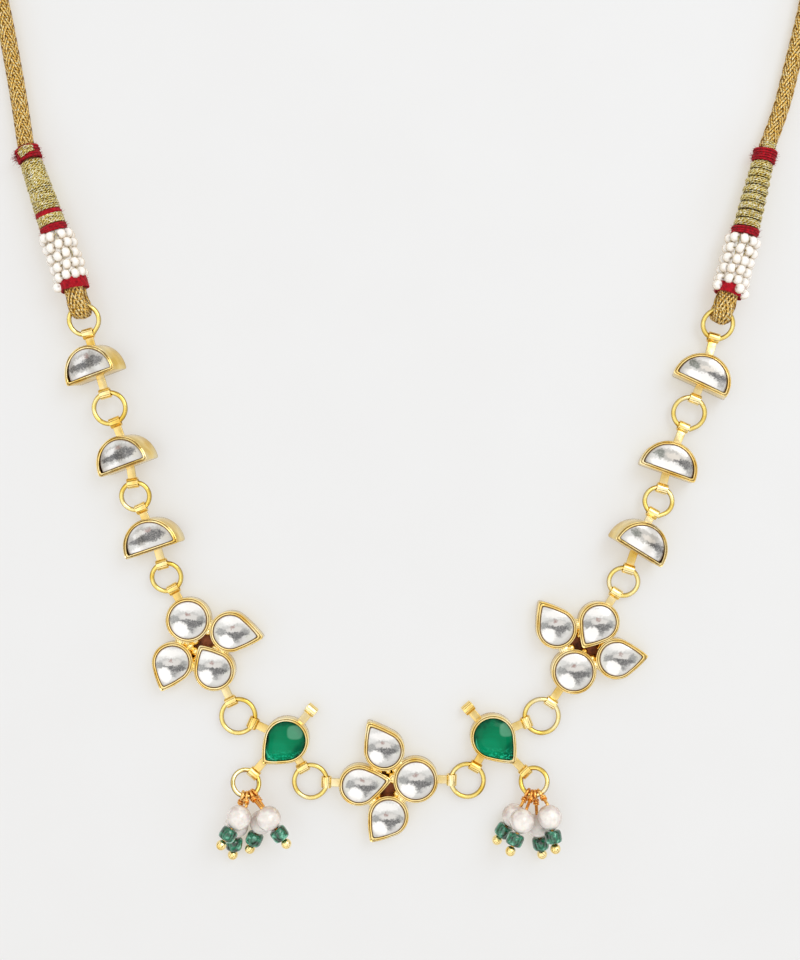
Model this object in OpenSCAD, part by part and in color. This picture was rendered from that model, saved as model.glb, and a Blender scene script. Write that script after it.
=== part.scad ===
// Kundan necklace laid flat: foiled glass in gold cups, joined by jump rings, on a gold cord.
// The origin is the middle of the centre flower's flat back, and all of it lies on z = 0.

/* [Settings] */
// Height of a flower's cups above its flat back
flower_h = 3.3; // [3:0.1:3.8]
// Height of the half-moon boxes
moon_h = 4.8; // [4.4:0.1:5]
// Height of the green drops' cups
green_h = 3.5; // [3.1:0.1:4]
// Thickness of the cup walls round a stone
wall = 0.65; // [0.4:0.05:0.7]
// Depth of the pocket that holds a stone
pocket = 1.6; // [1.4:0.1:1.7]
// Thickness of the plate behind a flower's cups
plate_t = 0.7; // [0.5:0.1:1]
// Outer radius of a half-moon box
moon_r = 5.7; // [5.5:0.1:5.9]
// How far a half-moon's straight side lies beyond the middle of its arc
moon_cut = 0.8; // [0.6:0.1:1]

/* [Stones] */
// Gap between a stone and its cup
stone_gap = 0.06; // [0.04:0.01:0.1]
// How far a clear stone's dome stands above its cup
dome = 0.45; // [0.3:0.05:0.7]
// How far a green stone's table stands above its cup
table_rise = 0.5; // [0.3:0.05:0.8]
// Size of a green stone's table as a share of the stone
table_share = 0.56; // [0.45:0.01:0.65]

/* [Bails and rings] */
// Radius of the jump ring wire
wire_r = 0.47; // [0.42:0.01:0.5]
// Radius of the hole in a bail's eye
eye_bore = 0.76; // [0.74:0.01:0.8]
// Outer radius of a bail's eye
eye_r = 1.06; // [1.02:0.01:1.1]
// Width of a bail's strip
bail_w = 2.2; // [1.5:0.1:2.2]
// Thickness of a bail's doubled strip
bail_t = 0.7; // [0.5:0.05:0.8]

/* [Drops] */
// Radius of a pearl
pearl_r = 2.4; // [2.3:0.05:2.45]
// Radius of a green bead
bead_r = 1.65; // [1.5:0.05:1.7]
// Length of a green bead along its pin
bead_l = 2.5; // [2.3:0.1:2.6]
// Radius of the gold ball that ends a pin
ball_r = 1; // [0.9:0.05:1.05]
// Radius of a pin's wire
pin_r = 0.2; // [0.16:0.01:0.22]
// Radius of the hole through the pearls and beads
drill_r = 0.32; // [0.3:0.01:0.36]
// Radius of a pin's loop at the middle of its wire
loop_r = 0.82; // [0.8:0.01:0.86]

/* [Cord] */
// Radius of the cord
cord_r = 1.7; // [1.6:0.05:1.75]
// Half the width of the cord where it is folded flat round a ring
fold_w = 2; // [1.8:0.05:2.05]
// Half the thickness of the folded cord
fold_t = 1; // [0.9:0.05:1.02]
// Outer radius of the beaded sleeve
sleeve_r = 3.55; // [3.3:0.05:3.6]
// Outer radius of the barrel at the back of the neck
barrel_r = 2.9; // [2.6:0.1:3.2]
// Length of that barrel
barrel_l = 12; // [10:0.5:14]

/* [Hidden] */
$fn = 48;
SIDES = ["left", "right"];
MOON_NAMES = ["half_moon_1", "half_moon_2", "half_moon_3"];
RING_NAMES = ["ring_1", "ring_2", "ring_3", "ring_4", "ring_5", "ring_6", "drop_ring"];

gold = "goldenrod";
eye_z = eye_r + 0.04;     // height of the eyes on what lies flat
eye_shift = 0.1;          // how far an eye's axis lies inside the ring's wire, which curves
pear_r = 4.05;            // outer radius of a pear cup's round head
round_r = 4.45;           // outer radius of a round cup
green_r = 4.5;            // outer radius of a green cup's round head
side_bulge = 0.15;        // how far a pear's sides bow out
dome_r = 15;              // radius of a flower stone's dome
moon_dome_r = 13;         // radius of a half-moon stone's dome
solder_r = 0.9;           // radius of the solder between two cups

// Cups of the flowers: the place of the round head, how far off its tip is (0 for a round
// cup) and the way the tip points.
// x, y, tip, turn
CENTRE_CUPS = [
    [-0.1, 6.5, 6.7, 120],
    [-5.1, -0.4, 6.7, 10],
    [6.1, 0.6, 0, 0],
    [0.7, -6.5, 6.3, 235]];
LEFT_CUPS = [
    [-38.9, 32.3, 0, 0],
    [-30.6, 30, 6.8, -10],
    [-42, 23.9, 6.2, 249],
    [-33.7, 22.3, 5.9, 120]];
RIGHT_CUPS = [
    [34, 30.6, 6.5, 122],
    [42.4, 31.9, 6.2, 237],
    [37.4, 22.1, 0, 0],
    [45.8, 24.6, 6.4, 5]];

// Solder between the cups: x, y
CENTRE_SOLDER = [[2.9, 3.6], [-2, 2.8], [-2.4, -3.7], [3.3, -3.2], [1.7, 0.8]];
LEFT_SOLDER = [[-34.6, 31.1], [-32.1, 26.1], [-37.8, 23.1], [-40.5, 28]];
RIGHT_SOLDER = [[38.2, 31.3], [44.1, 28.3], [41.6, 23.3], [35.7, 26.4]];

// Half-moon boxes: the middle of the arc, the way the straight side runs and how far the
// box leans to the left.
// x, y, turn, lean
LEFT_MOONS = [[-56.4, 81, 17, 21], [-50.2, 63.3, 19, 19], [-45.2, 47, 18.5, 11]];
RIGHT_MOONS = [[62.5, 79, -26.5, 9], [55.9, 61.9, -20, 6], [49.4, 46.6, -31, -12]];

// Green drops: the round head, the tip's distance and direction, and the eye with no ring.
// x, y, tip, turn, free eye x, y
LEFT_GREEN = [-19.5, 8.5, 6.6, 223.5, -14.7, 14.2];
RIGHT_GREEN = [21.4, 9.1, 6.9, 311, 16.6, 14.6];

// Jump rings: the middle, the radius at the middle of the wire, the height of the wire at
// the piece before it and at the piece after it, and the way from one to the other.
// x, y, radius, height before, height after, way
LEFT_RINGS = [
    [-59.4, 91.6, 2.9, 3.65, moon_z(LEFT_MOONS[0]), -72],
    [-54.4, 74.2, 3.1, moon_z(LEFT_MOONS[0]), moon_z(LEFT_MOONS[1]), -73],
    [-49.4, 56.8, 2.75, moon_z(LEFT_MOONS[1]), moon_z(LEFT_MOONS[2]), -74],
    [-43.4, 40.7, 2.85, moon_z(LEFT_MOONS[2]), eye_z, -68],
    [-29.2, 13, 3.35, eye_z, eye_z, 0],
    [-14.8, 0, 3.25, eye_z, eye_z, 0],
    [-27.5, 0, 2.65, eye_z, eye_z + 3, -128]];
RIGHT_RINGS = [
    [65.9, 90.8, 2.9, 3.65, moon_z(RIGHT_MOONS[0]), -109],
    [60.4, 73.3, 3.1, moon_z(RIGHT_MOONS[0]), moon_z(RIGHT_MOONS[1]), -108],
    [54.3, 55.8, 2.75, moon_z(RIGHT_MOONS[1]), moon_z(RIGHT_MOONS[2]), -110],
    [47.4, 39.8, 2.85, moon_z(RIGHT_MOONS[2]), eye_z, -116],
    [31.2, 13, 3.35, eye_z, eye_z, 0],
    [16.4, 0.2, 3.25, eye_z, eye_z, 0],
    [29.6, 0.2, 2.65, eye_z, eye_z + 2, -45]];
// Height of a leaning box's bails, when its lowest corner lies on the table
function moon_z(moon) = moon_r * sin(abs(moon[3])) + eye_z * cos(moon[3]);

// Pins of the drops: where the loop sits round the drop ring, the pearl's place, and the
// way and the fall of the straight part.
// loop angle, x, y, z, turn, fall
LEFT_PINS = [
    [36, -28.4, -5.8, 6.6, 237, -10],
    [57, -22.6, -5.9, 6.8, 304, 4],
    [76, -24.4, -7.8, 2.45, 246, 9],
    [20, -29.4, -8.5, 2.45, 262, 9]];
RIGHT_PINS = [
    [-54, 26.7, -6.3, 7.3, 248, -6],
    [-15, 32.2, -5.8, 6.4, 280, -5],
    [-38, 30.4, -8.4, 2.45, 278, 9],
    [-75, 25.6, -6.5, 2.45, 237, 9]];

// The cord's way round the neck, from the barrel to the thread binding
LEFT_ROUTE = [
    [-3.5, 234, 2.95], [-9, 233.5, 2.8], [-17, 232, 2.3], [-26, 229.5, 1.9],
    [-35, 226, 1.75], [-44, 221.5, 1.75], [-52, 216.5, 1.75], [-59, 210.5, 1.75],
    [-65, 204, 1.75], [-70, 197, 1.75], [-74, 189.5, 1.75], [-76.8, 181.5, 1.75],
    [-78.2, 173.5, 1.75], [-78.2, 165.5, 1.75], [-77, 158, 1.75], [-75.4, 150.5, 1.75],
    [-73.9, 142.5, 1.75], [-72.5, 134.5, 1.9], [-71.1, 126, 2.45], [-68.2, 117.9, 3],
    [-65.6, 110.3, 3.55], [-64.5, 107.3, 3.65]];
RIGHT_ROUTE = [
    [9.5, 234, 2.95], [15, 233.5, 2.8], [24, 232, 2.3], [33.5, 229, 1.9],
    [42.5, 225.5, 1.75], [51.5, 221, 1.75], [60, 215.5, 1.75], [67.5, 209, 1.75],
    [74, 201.5, 1.75], [79, 193.5, 1.75], [82.8, 184.5, 1.75], [84.9, 175.5, 1.75],
    [85.4, 166.5, 1.75], [84.5, 158, 1.75], [82.8, 150, 1.75], [80.8, 142, 1.75],
    [78.7, 134, 1.9], [75.6, 125.6, 2.45], [73.3, 117.4, 3], [71.2, 109.6, 3.55],
    [70.4, 106.7, 3.65]];

// The fold round the top ring: along the fold from the ring's wire, height, half width and
// half thickness. It bends to the sleeve's way where it enters the sleeve.
FOLD = [
    [-9.6, 4.45, fold_w - 0.35, fold_t], [-6, 4.72, fold_w - 0.35, fold_t],
    [-3.4, 4.75, fold_w - 0.1, fold_t], [-1.2, 5.1, fold_w, fold_t], [0, 5.25, fold_w, fold_t],
    [1, 5.05, fold_w, fold_t], [1.65, 4.5, fold_w, fold_t], [1.85, 3.65, fold_w, fold_t],
    [1.65, 2.75, fold_w, fold_t], [1, 2.15, fold_w, fold_t], [0, 1.95, fold_w, fold_t],
    [-1.2, 2.1, fold_w, fold_t], [-3.4, 2.55, fold_w - 0.1, fold_t],
    [-6, 2.58, fold_w - 0.35, fold_t], [-8.6, 2.6, fold_w - 0.35, fold_t]];

// The binding of each cord's end: start x, y, its way, and where the fold's axis meets the
// ring's wire with the fold's way
// x, y, way, fold x, fold y, fold way
LEFT_BINDING = [-70.9, 125.4, -70.5, -60.2, 94.4, -75];
RIGHT_BINDING = [75.4, 125, -105.1, 66.6, 93.4, -108.5];

// Rings of thread along the binding: start, end, outer radius at each
LEFT_RED = [[-0.3, 2.6, 2.45, 2.45], [13.3, 14.2, 2.65, 2.65], [16.3, 17.3, 2.75, 2.75]];
RIGHT_RED = [[-0.3, 2.4, 2.35, 2.35], [15.8, 16.8, 2.75, 2.75]];
LEFT_GOLD = [[2.7, 13.2, 2.2, 2.65], [14.3, 16.2, 2.65, 2.7]];
RIGHT_GOLD = [[2.5, 15.7, 2.3, 2.75]];
SLEEVE = [17.7, 27.6];
binding_rise = 3.8;       // slope of the binding, in degrees
binding_z = 2.5;          // height of its axis at its start
fold_bend = -5;           // where the fold's way changes, along the fold
bind_bore = 1.8;          // the hole in the thread rings
sleeve_bore = 2.42;       // the hole in the sleeve, for the doubled cord
sleeve_z = 3.65;          // height of the sleeve's axis and of the fold's
fold_band = [-4.9, -3.2]; // the red band at the fold, along the fold from the ring's wire
fold_band_r = 2.78;

// Outline of a pear whose head has radius r and whose tip is tip away along +X. The share
// shrinks it so that its walls stay even.
function pear(r, tip, inset = 0) =
    let (a = acos(r / tip), s = (r - inset) / r, n = 26,
        head = [r * cos(a), r * sin(a)],
        side = [for (u = [0.25:0.25:0.75])
            (1 - u) * [tip, 0] + u * head + 4 * u * (1 - u) * side_bulge * [cos(a), sin(a)]])
    s * concat([[tip, 0]], side,
        [for (i = [0:n]) let (t = a + (360 - 2 * a) * i / n) r * [cos(t), sin(t)]],
        [for (i = [2:-1:0]) [side[i].x, -side[i].y]]);

// One cup's outline, drawn inset from its outer edge
module cup_outline(cup, inset = 0) {
    translate([cup[0], cup[1]]) rotate(cup[3])
        if (cup[2] == 0) circle(round_r - inset);
        else polygon(pear(pear_r, cup[2], inset));
}

// A folded strip from a point in a setting to the ring's wire, ending in an eye round it
module bail(from, eye, z) {
    way = atan2(eye.y - from.y, eye.x - from.x);
    reach = norm(eye - from);
    translate([from.x, from.y, z]) rotate(way) difference() {
        union() {
            translate([0, -bail_w / 2, -bail_t / 2]) cube([reach - eye_bore, bail_w, bail_t]);
            translate([reach, bail_w / 2, 0]) rotate([90, 0, 0]) cylinder(r = eye_r, h = bail_w);
        }
        translate([reach, bail_w, 0]) rotate([90, 0, 0]) cylinder(r = eye_bore, h = 2 * bail_w);
    }
}
// How far a ring slopes, and where the eye of a strip from a given point goes round its wire
function ring_slope(ring) = asin((ring[3] - ring[4]) / (2 * ring[2]));
function ring_eye(ring, from) =
    let (c = [ring[0], ring[1]], d = from - c)
    c + d / norm(d) * (ring[2] - eye_shift) * cos(ring_slope(ring));

module flower(cups, solder, from_a, ring_a, from_b, ring_b) {
    color(gold) union() {
        difference() {
            union() {
                for (c = cups) linear_extrude(flower_h) cup_outline(c);
                for (p = solder) translate(p) cylinder(r = solder_r, h = flower_h - 0.7);
                linear_extrude(plate_t) polygon(hull_order(cups));
                bail(from_a, ring_eye(ring_a, from_a), eye_z);
                bail(from_b, ring_eye(ring_b, from_b), eye_z);
            }
            for (c = cups)
                translate([0, 0, flower_h - pocket]) linear_extrude(pocket + 1) cup_outline(c, wall);
        }
    }
}
// The heads' middles in order round the flower
function middle(cups) = [for (k = [0, 1]) (cups[0][k] + cups[1][k] + cups[2][k] + cups[3][k]) / 4];
function bearing(cups, i) = let (m = middle(cups)) atan2(cups[i].y - m.y, cups[i].x - m.x);
function hull_order(cups) =
    let (b = [for (i = [0:3]) bearing(cups, i)])
    [for (k = [0:3]) for (i = [0:3])
        if (len([for (j = [0:3]) if (b[j] < b[i]) 1]) == k) [cups[i].x, cups[i].y]];

module flower_stone(cup) {
    base = flower_h - pocket + stone_gap;
    color("gainsboro") intersection() {
        translate([0, 0, base]) linear_extrude(pocket + dome) cup_outline(cup, wall + stone_gap);
        translate([cup[0], cup[1], flower_h + dome - dome_r]) rotate(cup[3])
            translate([cup[2] == 0 ? 0 : 0.8, 0, 0]) sphere(dome_r, $fn = 96);
    }
}

// A disc cut along a line beside its middle, parallel to the X axis
module half_disc(inset = 0) {
    intersection() {
        circle(moon_r - inset);
        translate([-moon_r, inset - moon_cut]) square(2 * moon_r);
    }
}
// Puts a half-moon's own frame, whose X axis runs along the straight side and whose Y axis
// is the line through its eyes, at its place
module at_moon(moon) {
    translate([moon[0], moon[1], moon_z(moon)]) rotate([0, 0, moon[2]])
        rotate([0, -moon[3], 0]) translate([0, 0, -eye_z]) children();
}
module half_moon(moon, ring_above, ring_below) {
    from = [moon[0], moon[1]] + 1.2 * [-sin(moon[2]), cos(moon[2])];
    z = moon_z(moon);
    color(gold) difference() {
        union() {
            at_moon(moon) linear_extrude(moon_h) half_disc();
            bail(from, ring_eye(ring_above, from), z);
            bail(from, ring_eye(ring_below, from), z);
        }
        at_moon(moon) translate([0, 0, moon_h - pocket]) linear_extrude(pocket + 1) half_disc(wall);
    }
}
module half_moon_stone(moon) {
    base = moon_h - pocket + stone_gap;
    color("gainsboro") at_moon(moon) intersection() {
        translate([0, 0, base]) linear_extrude(pocket + dome) half_disc(wall + stone_gap);
        translate([0, 2, moon_h + dome - moon_dome_r]) sphere(moon_dome_r, $fn = 96);
    }
}

module green_outline(green, inset = 0) {
    translate([green[0], green[1]]) rotate(green[3]) polygon(pear(green_r, green[2], inset));
}
module green_setting(green, ring_a, ring_b, drop_ring) {
    head = [green[0], green[1]];
    tip = head + (green[2] - 1.2) * [cos(green[3]), sin(green[3])];
    color(gold) difference() {
        union() {
            linear_extrude(green_h) green_outline(green);
            bail(head, ring_eye(ring_a, head), eye_z);
            bail(head, ring_eye(ring_b, head), eye_z);
            bail(head, [green[4], green[5]], eye_z);
            bail(tip, ring_eye(drop_ring, tip), eye_z);
        }
        translate([0, 0, green_h - pocket]) linear_extrude(pocket + 1) green_outline(green, wall);
    }
}
// A pear cut with a flat table and a ring of facets down to its girdle
module green_stone(green) {
    girdle = green_r - wall - stone_gap;
    s = girdle / green_r;
    a = acos(green_r / green[2]);
    corners = concat([[green[2] * s, 0]],
        [for (i = [0:9]) let (t = a + (360 - 2 * a) * i / 9) girdle * [cos(t), sin(t)]]);
    base = green_h - pocket + stone_gap;
    color("seagreen") translate([green[0], green[1], 0]) rotate(green[3]) {
        translate([0, 0, base]) linear_extrude(green_h - 0.25 - base) polygon(corners);
        translate([0, 0, green_h - 0.25]) linear_extrude(table_rise + 0.25, scale = table_share)
            polygon(corners);
    }
}

// A jump ring, sloping from one piece to the next. A sprung one is open inside the bail,
// with one end straight.
module jump_ring(ring, sprung = false) {
    color(gold) translate([ring[0], ring[1], (ring[3] + ring[4]) / 2]) rotate([0, 0, ring[5]])
        rotate([0, ring_slope(ring), 0])
            if (sprung) union() {
                rotate(40) rotate_extrude(angle = 322) translate([ring[2], 0]) circle(wire_r);
                rotate(40) translate([ring[2], 0, 0]) rotate([90, 0, 0]) cylinder(r = wire_r, h = 1.3);
            }
            else rotate_extrude() translate([ring[2], 0]) circle(wire_r);
}

function unit(v) = v / norm(v);
function pin_way(pin) = [cos(pin[4]) * cos(pin[5]), sin(pin[4]) * cos(pin[5]), -sin(pin[5])];
function pin_pearl(pin) = [pin[1], pin[2], pin[3]];
// The point of the drop ring's wire that a pin's loop goes round, and the wire's way there
function loop_at(ring, a) =
    let (s = ring_slope(ring), w = ring[5], r = ring[2])
    [ring[0], ring[1], (ring[3] + ring[4]) / 2]
        + r * [cos(w) * cos(a) * cos(s) - sin(w) * sin(a),
               sin(w) * cos(a) * cos(s) + cos(w) * sin(a), -cos(a) * sin(s)];
function wire_way(ring, a) =
    let (s = ring_slope(ring), w = ring[5])
    [-cos(w) * sin(a) * cos(s) - sin(w) * cos(a),
     -sin(w) * sin(a) * cos(s) + cos(w) * cos(a), sin(a) * sin(s)];
// Turns +Z to a direction
module along(way) {
    rotate([0, acos(way.z / norm(way)), atan2(way.y, way.x)]) children();
}
module rod(a, b, r) {
    translate(a) along(b - a) cylinder(r = r, h = norm(b - a), $fn = 24);
}
bead_at = pearl_r + 0.12 + bead_l / 2;
ball_at = bead_at + bead_l / 2 + 0.12 + ball_r;
neck_r = pin_r - 0.03;
module drop_pin(pin, ring) {
    pearl = pin_pearl(pin);
    way = pin_way(pin);
    loop = loop_at(ring, pin[0]);
    top = pearl - (pearl_r + 0.15) * way;
    neck = unit(top - loop);
    side = wire_way(ring, pin[0]);
    flat = unit(side - (side * neck) * neck);
    color("darkgoldenrod") union() {
        translate(loop) along(flat) rotate_extrude() translate([loop_r, 0]) circle(pin_r, $fn = 24);
        rod(loop + loop_r * neck, top, neck_r);
        translate(top) sphere(pin_r + 0.05, $fn = 24);
        rod(top, pearl + ball_at * way, neck_r);
        translate(pearl + ball_at * way) sphere(ball_r);
    }
}
module pearl(pin) {
    color("linen") translate(pin_pearl(pin)) along(pin_way(pin)) difference() {
        sphere(pearl_r);
        translate([0, 0, -3]) cylinder(r = drill_r, h = 6, $fn = 24);
    }
}
module green_bead(pin) {
    color("teal") translate(pin_pearl(pin) + bead_at * pin_way(pin)) along(pin_way(pin)) difference() {
        intersection() {
            cylinder(r = bead_r, h = bead_l, center = true);
            sphere(1.17 * bead_r);
        }
        translate([0, 0, -3]) cylinder(r = drill_r, h = 6, $fn = 24);
    }
}

// Rings of a swept tube: each row is a middle, the way across it, half width and half height
SECTION = [for (i = [0:7]) [cos(45 * i), sin(45 * i)]];
function route_rows(route) = [for (i = [0:len(route) - 1])
    let (t = route[min(i + 1, len(route) - 1)] - route[max(i - 1, 0)])
    [route[i], unit([-t.y, t.x, 0]), cord_r, cord_r]];
function fold_rows(b) = [for (f = FOLD)
    let (a = f[0] < fold_bend ? b[2] : b[5], s = min(0, f[0] - fold_bend),
        t = max(f[0], fold_bend))
    [[b[3] + t * cos(b[5]) + s * cos(a), b[4] + t * sin(b[5]) + s * sin(a), f[1]],
        [-sin(a), cos(a), 0], f[2], f[3]]];
function row_way(rows, i) = unit(rows[min(i + 1, len(rows) - 1)][0] - rows[max(i - 1, 0)][0]);
module tube(rows) {
    n = len(rows);
    points = [for (i = [0:n - 1]) let (up = cross(row_way(rows, i), rows[i][1]))
        for (p = SECTION) rows[i][0] + rows[i][2] * p.x * rows[i][1] + rows[i][3] * p.y * up];
    polyhedron(points, concat(
        [[for (k = [0:7]) k]],
        [for (i = [0:n - 2]) for (k = [0:7]) let (m = (k + 1) % 8)
            [8 * i + k, 8 * i + 8 + k, 8 * i + 8 + m, 8 * i + m]],
        [[for (k = [7:-1:0]) 8 * (n - 1) + k]]));
}
module cord(route, binding) {
    color("darkgoldenrod") tube(concat(route_rows(route), fold_rows(binding)));
}
// Carries what runs along +Z to the binding's sloping axis
module on_binding(b) {
    translate([b[0], b[1], binding_z]) rotate([0, 0, b[2]]) rotate([0, 90 - binding_rise, 0]) children();
}
module thread_ring(t, bore) {
    translate([0, 0, t[0]]) difference() {
        cylinder(r1 = t[2], r2 = t[3], h = t[1] - t[0]);
        translate([0, 0, -1]) cylinder(r = bore, h = t[1] - t[0] + 2);
    }
}
module red_bands(b, bands) {
    color("firebrick") {
        on_binding(b) for (t = bands) thread_ring(t, bind_bore);
        translate([b[3], b[4], sleeve_z]) rotate([0, 0, b[5]]) rotate([0, 90, 0])
            thread_ring([fold_band[0], fold_band[1], fold_band_r, fold_band_r], sleeve_bore);
    }
}
module gold_wrap(b, bands) {
    color("darkkhaki") on_binding(b) for (t = bands) thread_ring(t, bind_bore);
}
module bead_sleeve(b) {
    color("whitesmoke") translate([b[0], b[1], sleeve_z]) rotate([0, 0, b[2]]) rotate([0, 90, 0])
        thread_ring([SLEEVE[0], SLEEVE[1], sleeve_r, sleeve_r], sleeve_bore);
}
module neck_barrel() {
    color(gold) translate([3, 234, 2.95]) rotate([0, 90, 0]) difference() {
        cylinder(r = barrel_r, h = barrel_l, center = true);
        cylinder(r = bind_bore, h = barrel_l + 2, center = true);
    }
}

function head_of(cups, i) = [cups[i].x, cups[i].y];
function sprung(side, i) = i == 0 || (side == 1 && i < 3);

flower(CENTRE_CUPS, CENTRE_SOLDER, head_of(CENTRE_CUPS, 1), LEFT_RINGS[5],  // centre_flower
        head_of(CENTRE_CUPS, 2), RIGHT_RINGS[5]);
flower(LEFT_CUPS, LEFT_SOLDER, head_of(LEFT_CUPS, 0), LEFT_RINGS[3],  // left_flower
        head_of(LEFT_CUPS, 3), LEFT_RINGS[4]);
flower(RIGHT_CUPS, RIGHT_SOLDER, head_of(RIGHT_CUPS, 1), RIGHT_RINGS[3],  // right_flower
        head_of(RIGHT_CUPS, 2), RIGHT_RINGS[4]);
for (i = [0:3]) {
    flower_stone(CENTRE_CUPS[i]);
    flower_stone(LEFT_CUPS[i]);
    flower_stone(RIGHT_CUPS[i]);
}
for (s = [0, 1]) {
    rings = [LEFT_RINGS, RIGHT_RINGS][s];
    moons = [LEFT_MOONS, RIGHT_MOONS][s];
    green = [LEFT_GREEN, RIGHT_GREEN][s];
    pins = [LEFT_PINS, RIGHT_PINS][s];
    binding = [LEFT_BINDING, RIGHT_BINDING][s];
    green_setting(green, rings[4], rings[5], rings[6]);
    green_stone(green);
    for (i = [0:2]) {
        half_moon(moons[i], rings[i], rings[i + 1]);
        half_moon_stone(moons[i]);
    }
    for (i = [0:6])
        jump_ring(rings[i], sprung(s, i));
    for (p = pins) drop_pin(p, rings[6]);
    for (p = pins) pearl(p);
    for (p = pins) green_bead(p);
    cord([LEFT_ROUTE, RIGHT_ROUTE][s], binding);
    gold_wrap(binding, [LEFT_GOLD, RIGHT_GOLD][s]);
    red_bands(binding, [LEFT_RED, RIGHT_RED][s]);
    bead_sleeve(binding);
}
neck_barrel();
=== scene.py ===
import random
from math import acos, asin, atan2, cos, hypot, pi, radians, sin, sqrt
import bmesh
import bpy
import numpy as np
from mathutils import Matrix, Vector


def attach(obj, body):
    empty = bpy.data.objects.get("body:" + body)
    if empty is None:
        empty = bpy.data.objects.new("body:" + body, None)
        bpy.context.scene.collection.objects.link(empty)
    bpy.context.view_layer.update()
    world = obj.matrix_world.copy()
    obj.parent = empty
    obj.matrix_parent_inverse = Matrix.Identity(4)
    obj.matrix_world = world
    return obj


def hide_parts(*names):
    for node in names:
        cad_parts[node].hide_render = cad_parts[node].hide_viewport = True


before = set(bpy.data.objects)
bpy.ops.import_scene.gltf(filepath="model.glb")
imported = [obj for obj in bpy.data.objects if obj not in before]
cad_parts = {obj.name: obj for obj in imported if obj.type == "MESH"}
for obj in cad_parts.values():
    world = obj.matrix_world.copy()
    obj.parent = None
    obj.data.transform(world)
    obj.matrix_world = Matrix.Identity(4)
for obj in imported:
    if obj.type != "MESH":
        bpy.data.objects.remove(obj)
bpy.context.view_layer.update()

# Kundan necklace laid flat. Pieces are drawn in millimetres and brought to metres when finished.
random.seed(12)
scene = bpy.context.scene
scene.view_settings.view_transform = "Standard"
sides = ("left", "right")


# materials
class Signal:  # a node's output, and what can be worked out from it
    def __init__(self, kit, socket):
        self.kit, self.socket = kit, socket

    def math(self, operation, other=0.0):
        return self.kit.node("ShaderNodeMath", 0, {0: self, 1: other}, operation=operation)

    def __add__(self, other):
        return self.math("ADD", other)

    def __sub__(self, other):
        return self.math("SUBTRACT", other)

    def __mul__(self, other):
        return self.math("MULTIPLY", other)

    def spread(self, low, high, toLow=0, toHigh=1, kind="LINEAR"):
        ends = {"Value": self, "From Min": low, "From Max": high, "To Min": toLow, "To Max": toHigh}
        return self.kit.node("ShaderNodeMapRange", "Result", ends, interpolation_type=kind)

    def ramp(self, *stops):  # each stop: place, and a colour or one number for a grey
        made = self.kit.make("ShaderNodeValToRGB", {"Fac": self})
        band = made.color_ramp.elements
        while len(band) < len(stops):
            band.new(0.5)
        for element, (place, tone) in zip(band, stops):
            element.position = place
            element.color = (*tone, 1) if isinstance(tone, tuple) else (tone, tone, tone, 1)
        return Signal(self.kit, made.outputs["Color"])


class Kit:  # the nodes of a material or of the world
    def __init__(self, owner, last, values):
        owner.use_nodes = True
        self.owner, self.tree = owner, owner.node_tree
        self.last = self.tree.nodes[last]
        self.paint(values)

    def feed(self, made, values):
        for name, value in values.items():
            socket = made.inputs[name]
            if isinstance(value, Signal):
                self.tree.links.new(value.socket, socket)
            else:
                socket.default_value = (*value, 1) if socket.type == "RGBA" else value

    def paint(self, values):
        self.feed(self.last, values)

    def make(self, kind, values=None, **settings):
        made = self.tree.nodes.new(kind)
        for key, value in settings.items():
            setattr(made, key, value)
        self.feed(made, values or {})
        return made

    def node(self, kind, output, values=None, **settings):
        return Signal(self, self.make(kind, values, **settings).outputs[output])

    def noise(self, scale, detail=3, rough=0.5, output="Fac", place=None):
        place = place or self.node("ShaderNodeTexCoord", "Object")
        return self.node("ShaderNodeTexNoise", output,
                         {"Vector": place, "Scale": scale, "Detail": detail, "Roughness": rough})

    def axes(self, source):
        return [Signal(self, out) for out in self.make("ShaderNodeSeparateXYZ", {"Vector": source}).outputs]

    def facingUp(self):
        return self.axes(self.node("ShaderNodeNewGeometry", "Normal"))[2]

    def attribute(self, name, output="Vector"):
        return self.node("ShaderNodeAttribute", output, attribute_name=name)

    def blend(self, amount, a, b):
        return self.node("ShaderNodeMix", 2, {0: amount, 6: a, 7: b}, data_type="RGBA")

    def bump(self, height, strength, distance):
        self.paint({"Normal": self.node("ShaderNodeBump", "Normal",
                                        {"Height": height, "Strength": strength, "Distance": distance})})


def shade(name, values):
    return Kit(bpy.data.materials.new(name), "Principled BSDF", values)


def speckled(name, scale, detail, stops, values):
    kit = shade(name, values)
    kit.paint({"Base Color": kit.noise(scale, detail).ramp(*stops)})
    return kit


# camera, lights, room and floor
view = {"spot": (0.003, 0.060, 0.260), "aim": (0.003, 0.06, 0), "sensor": 24, "lens": 32.5, "near": 0.01}
lamps = {  # place, size, power, colour
    "window": ((0.34, 0.42, 0.62), 0.42, 1.6, (1, 0.985, 0.95)),
    "fill": ((-0.5, -0.1, 0.7), 0.9, 0.7, (0.96, 0.98, 1))}
floorSpec = {"half": 12, "z": -0.00005}

eye = bpy.data.objects.new("camera", bpy.data.cameras.new("camera"))
eye.data.sensor_fit = "VERTICAL"
eye.data.sensor_height = view["sensor"]
eye.data.lens = view["lens"]
eye.data.clip_start = view["near"]
eye.location = view["spot"]
scene.collection.objects.link(eye)
scene.camera = eye

for name, (spot, size, power, tone) in lamps.items():
    lamp = bpy.data.objects.new(name, bpy.data.lights.new(name, "AREA"))
    lamp.data.size = size
    lamp.data.energy = power
    lamp.data.color = tone
    lamp.location = spot
    lamp.rotation_euler = (Vector(view["aim"]) - Vector(spot)).to_track_quat("-Z", "Y").to_euler()
    scene.collection.objects.link(lamp)

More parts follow.
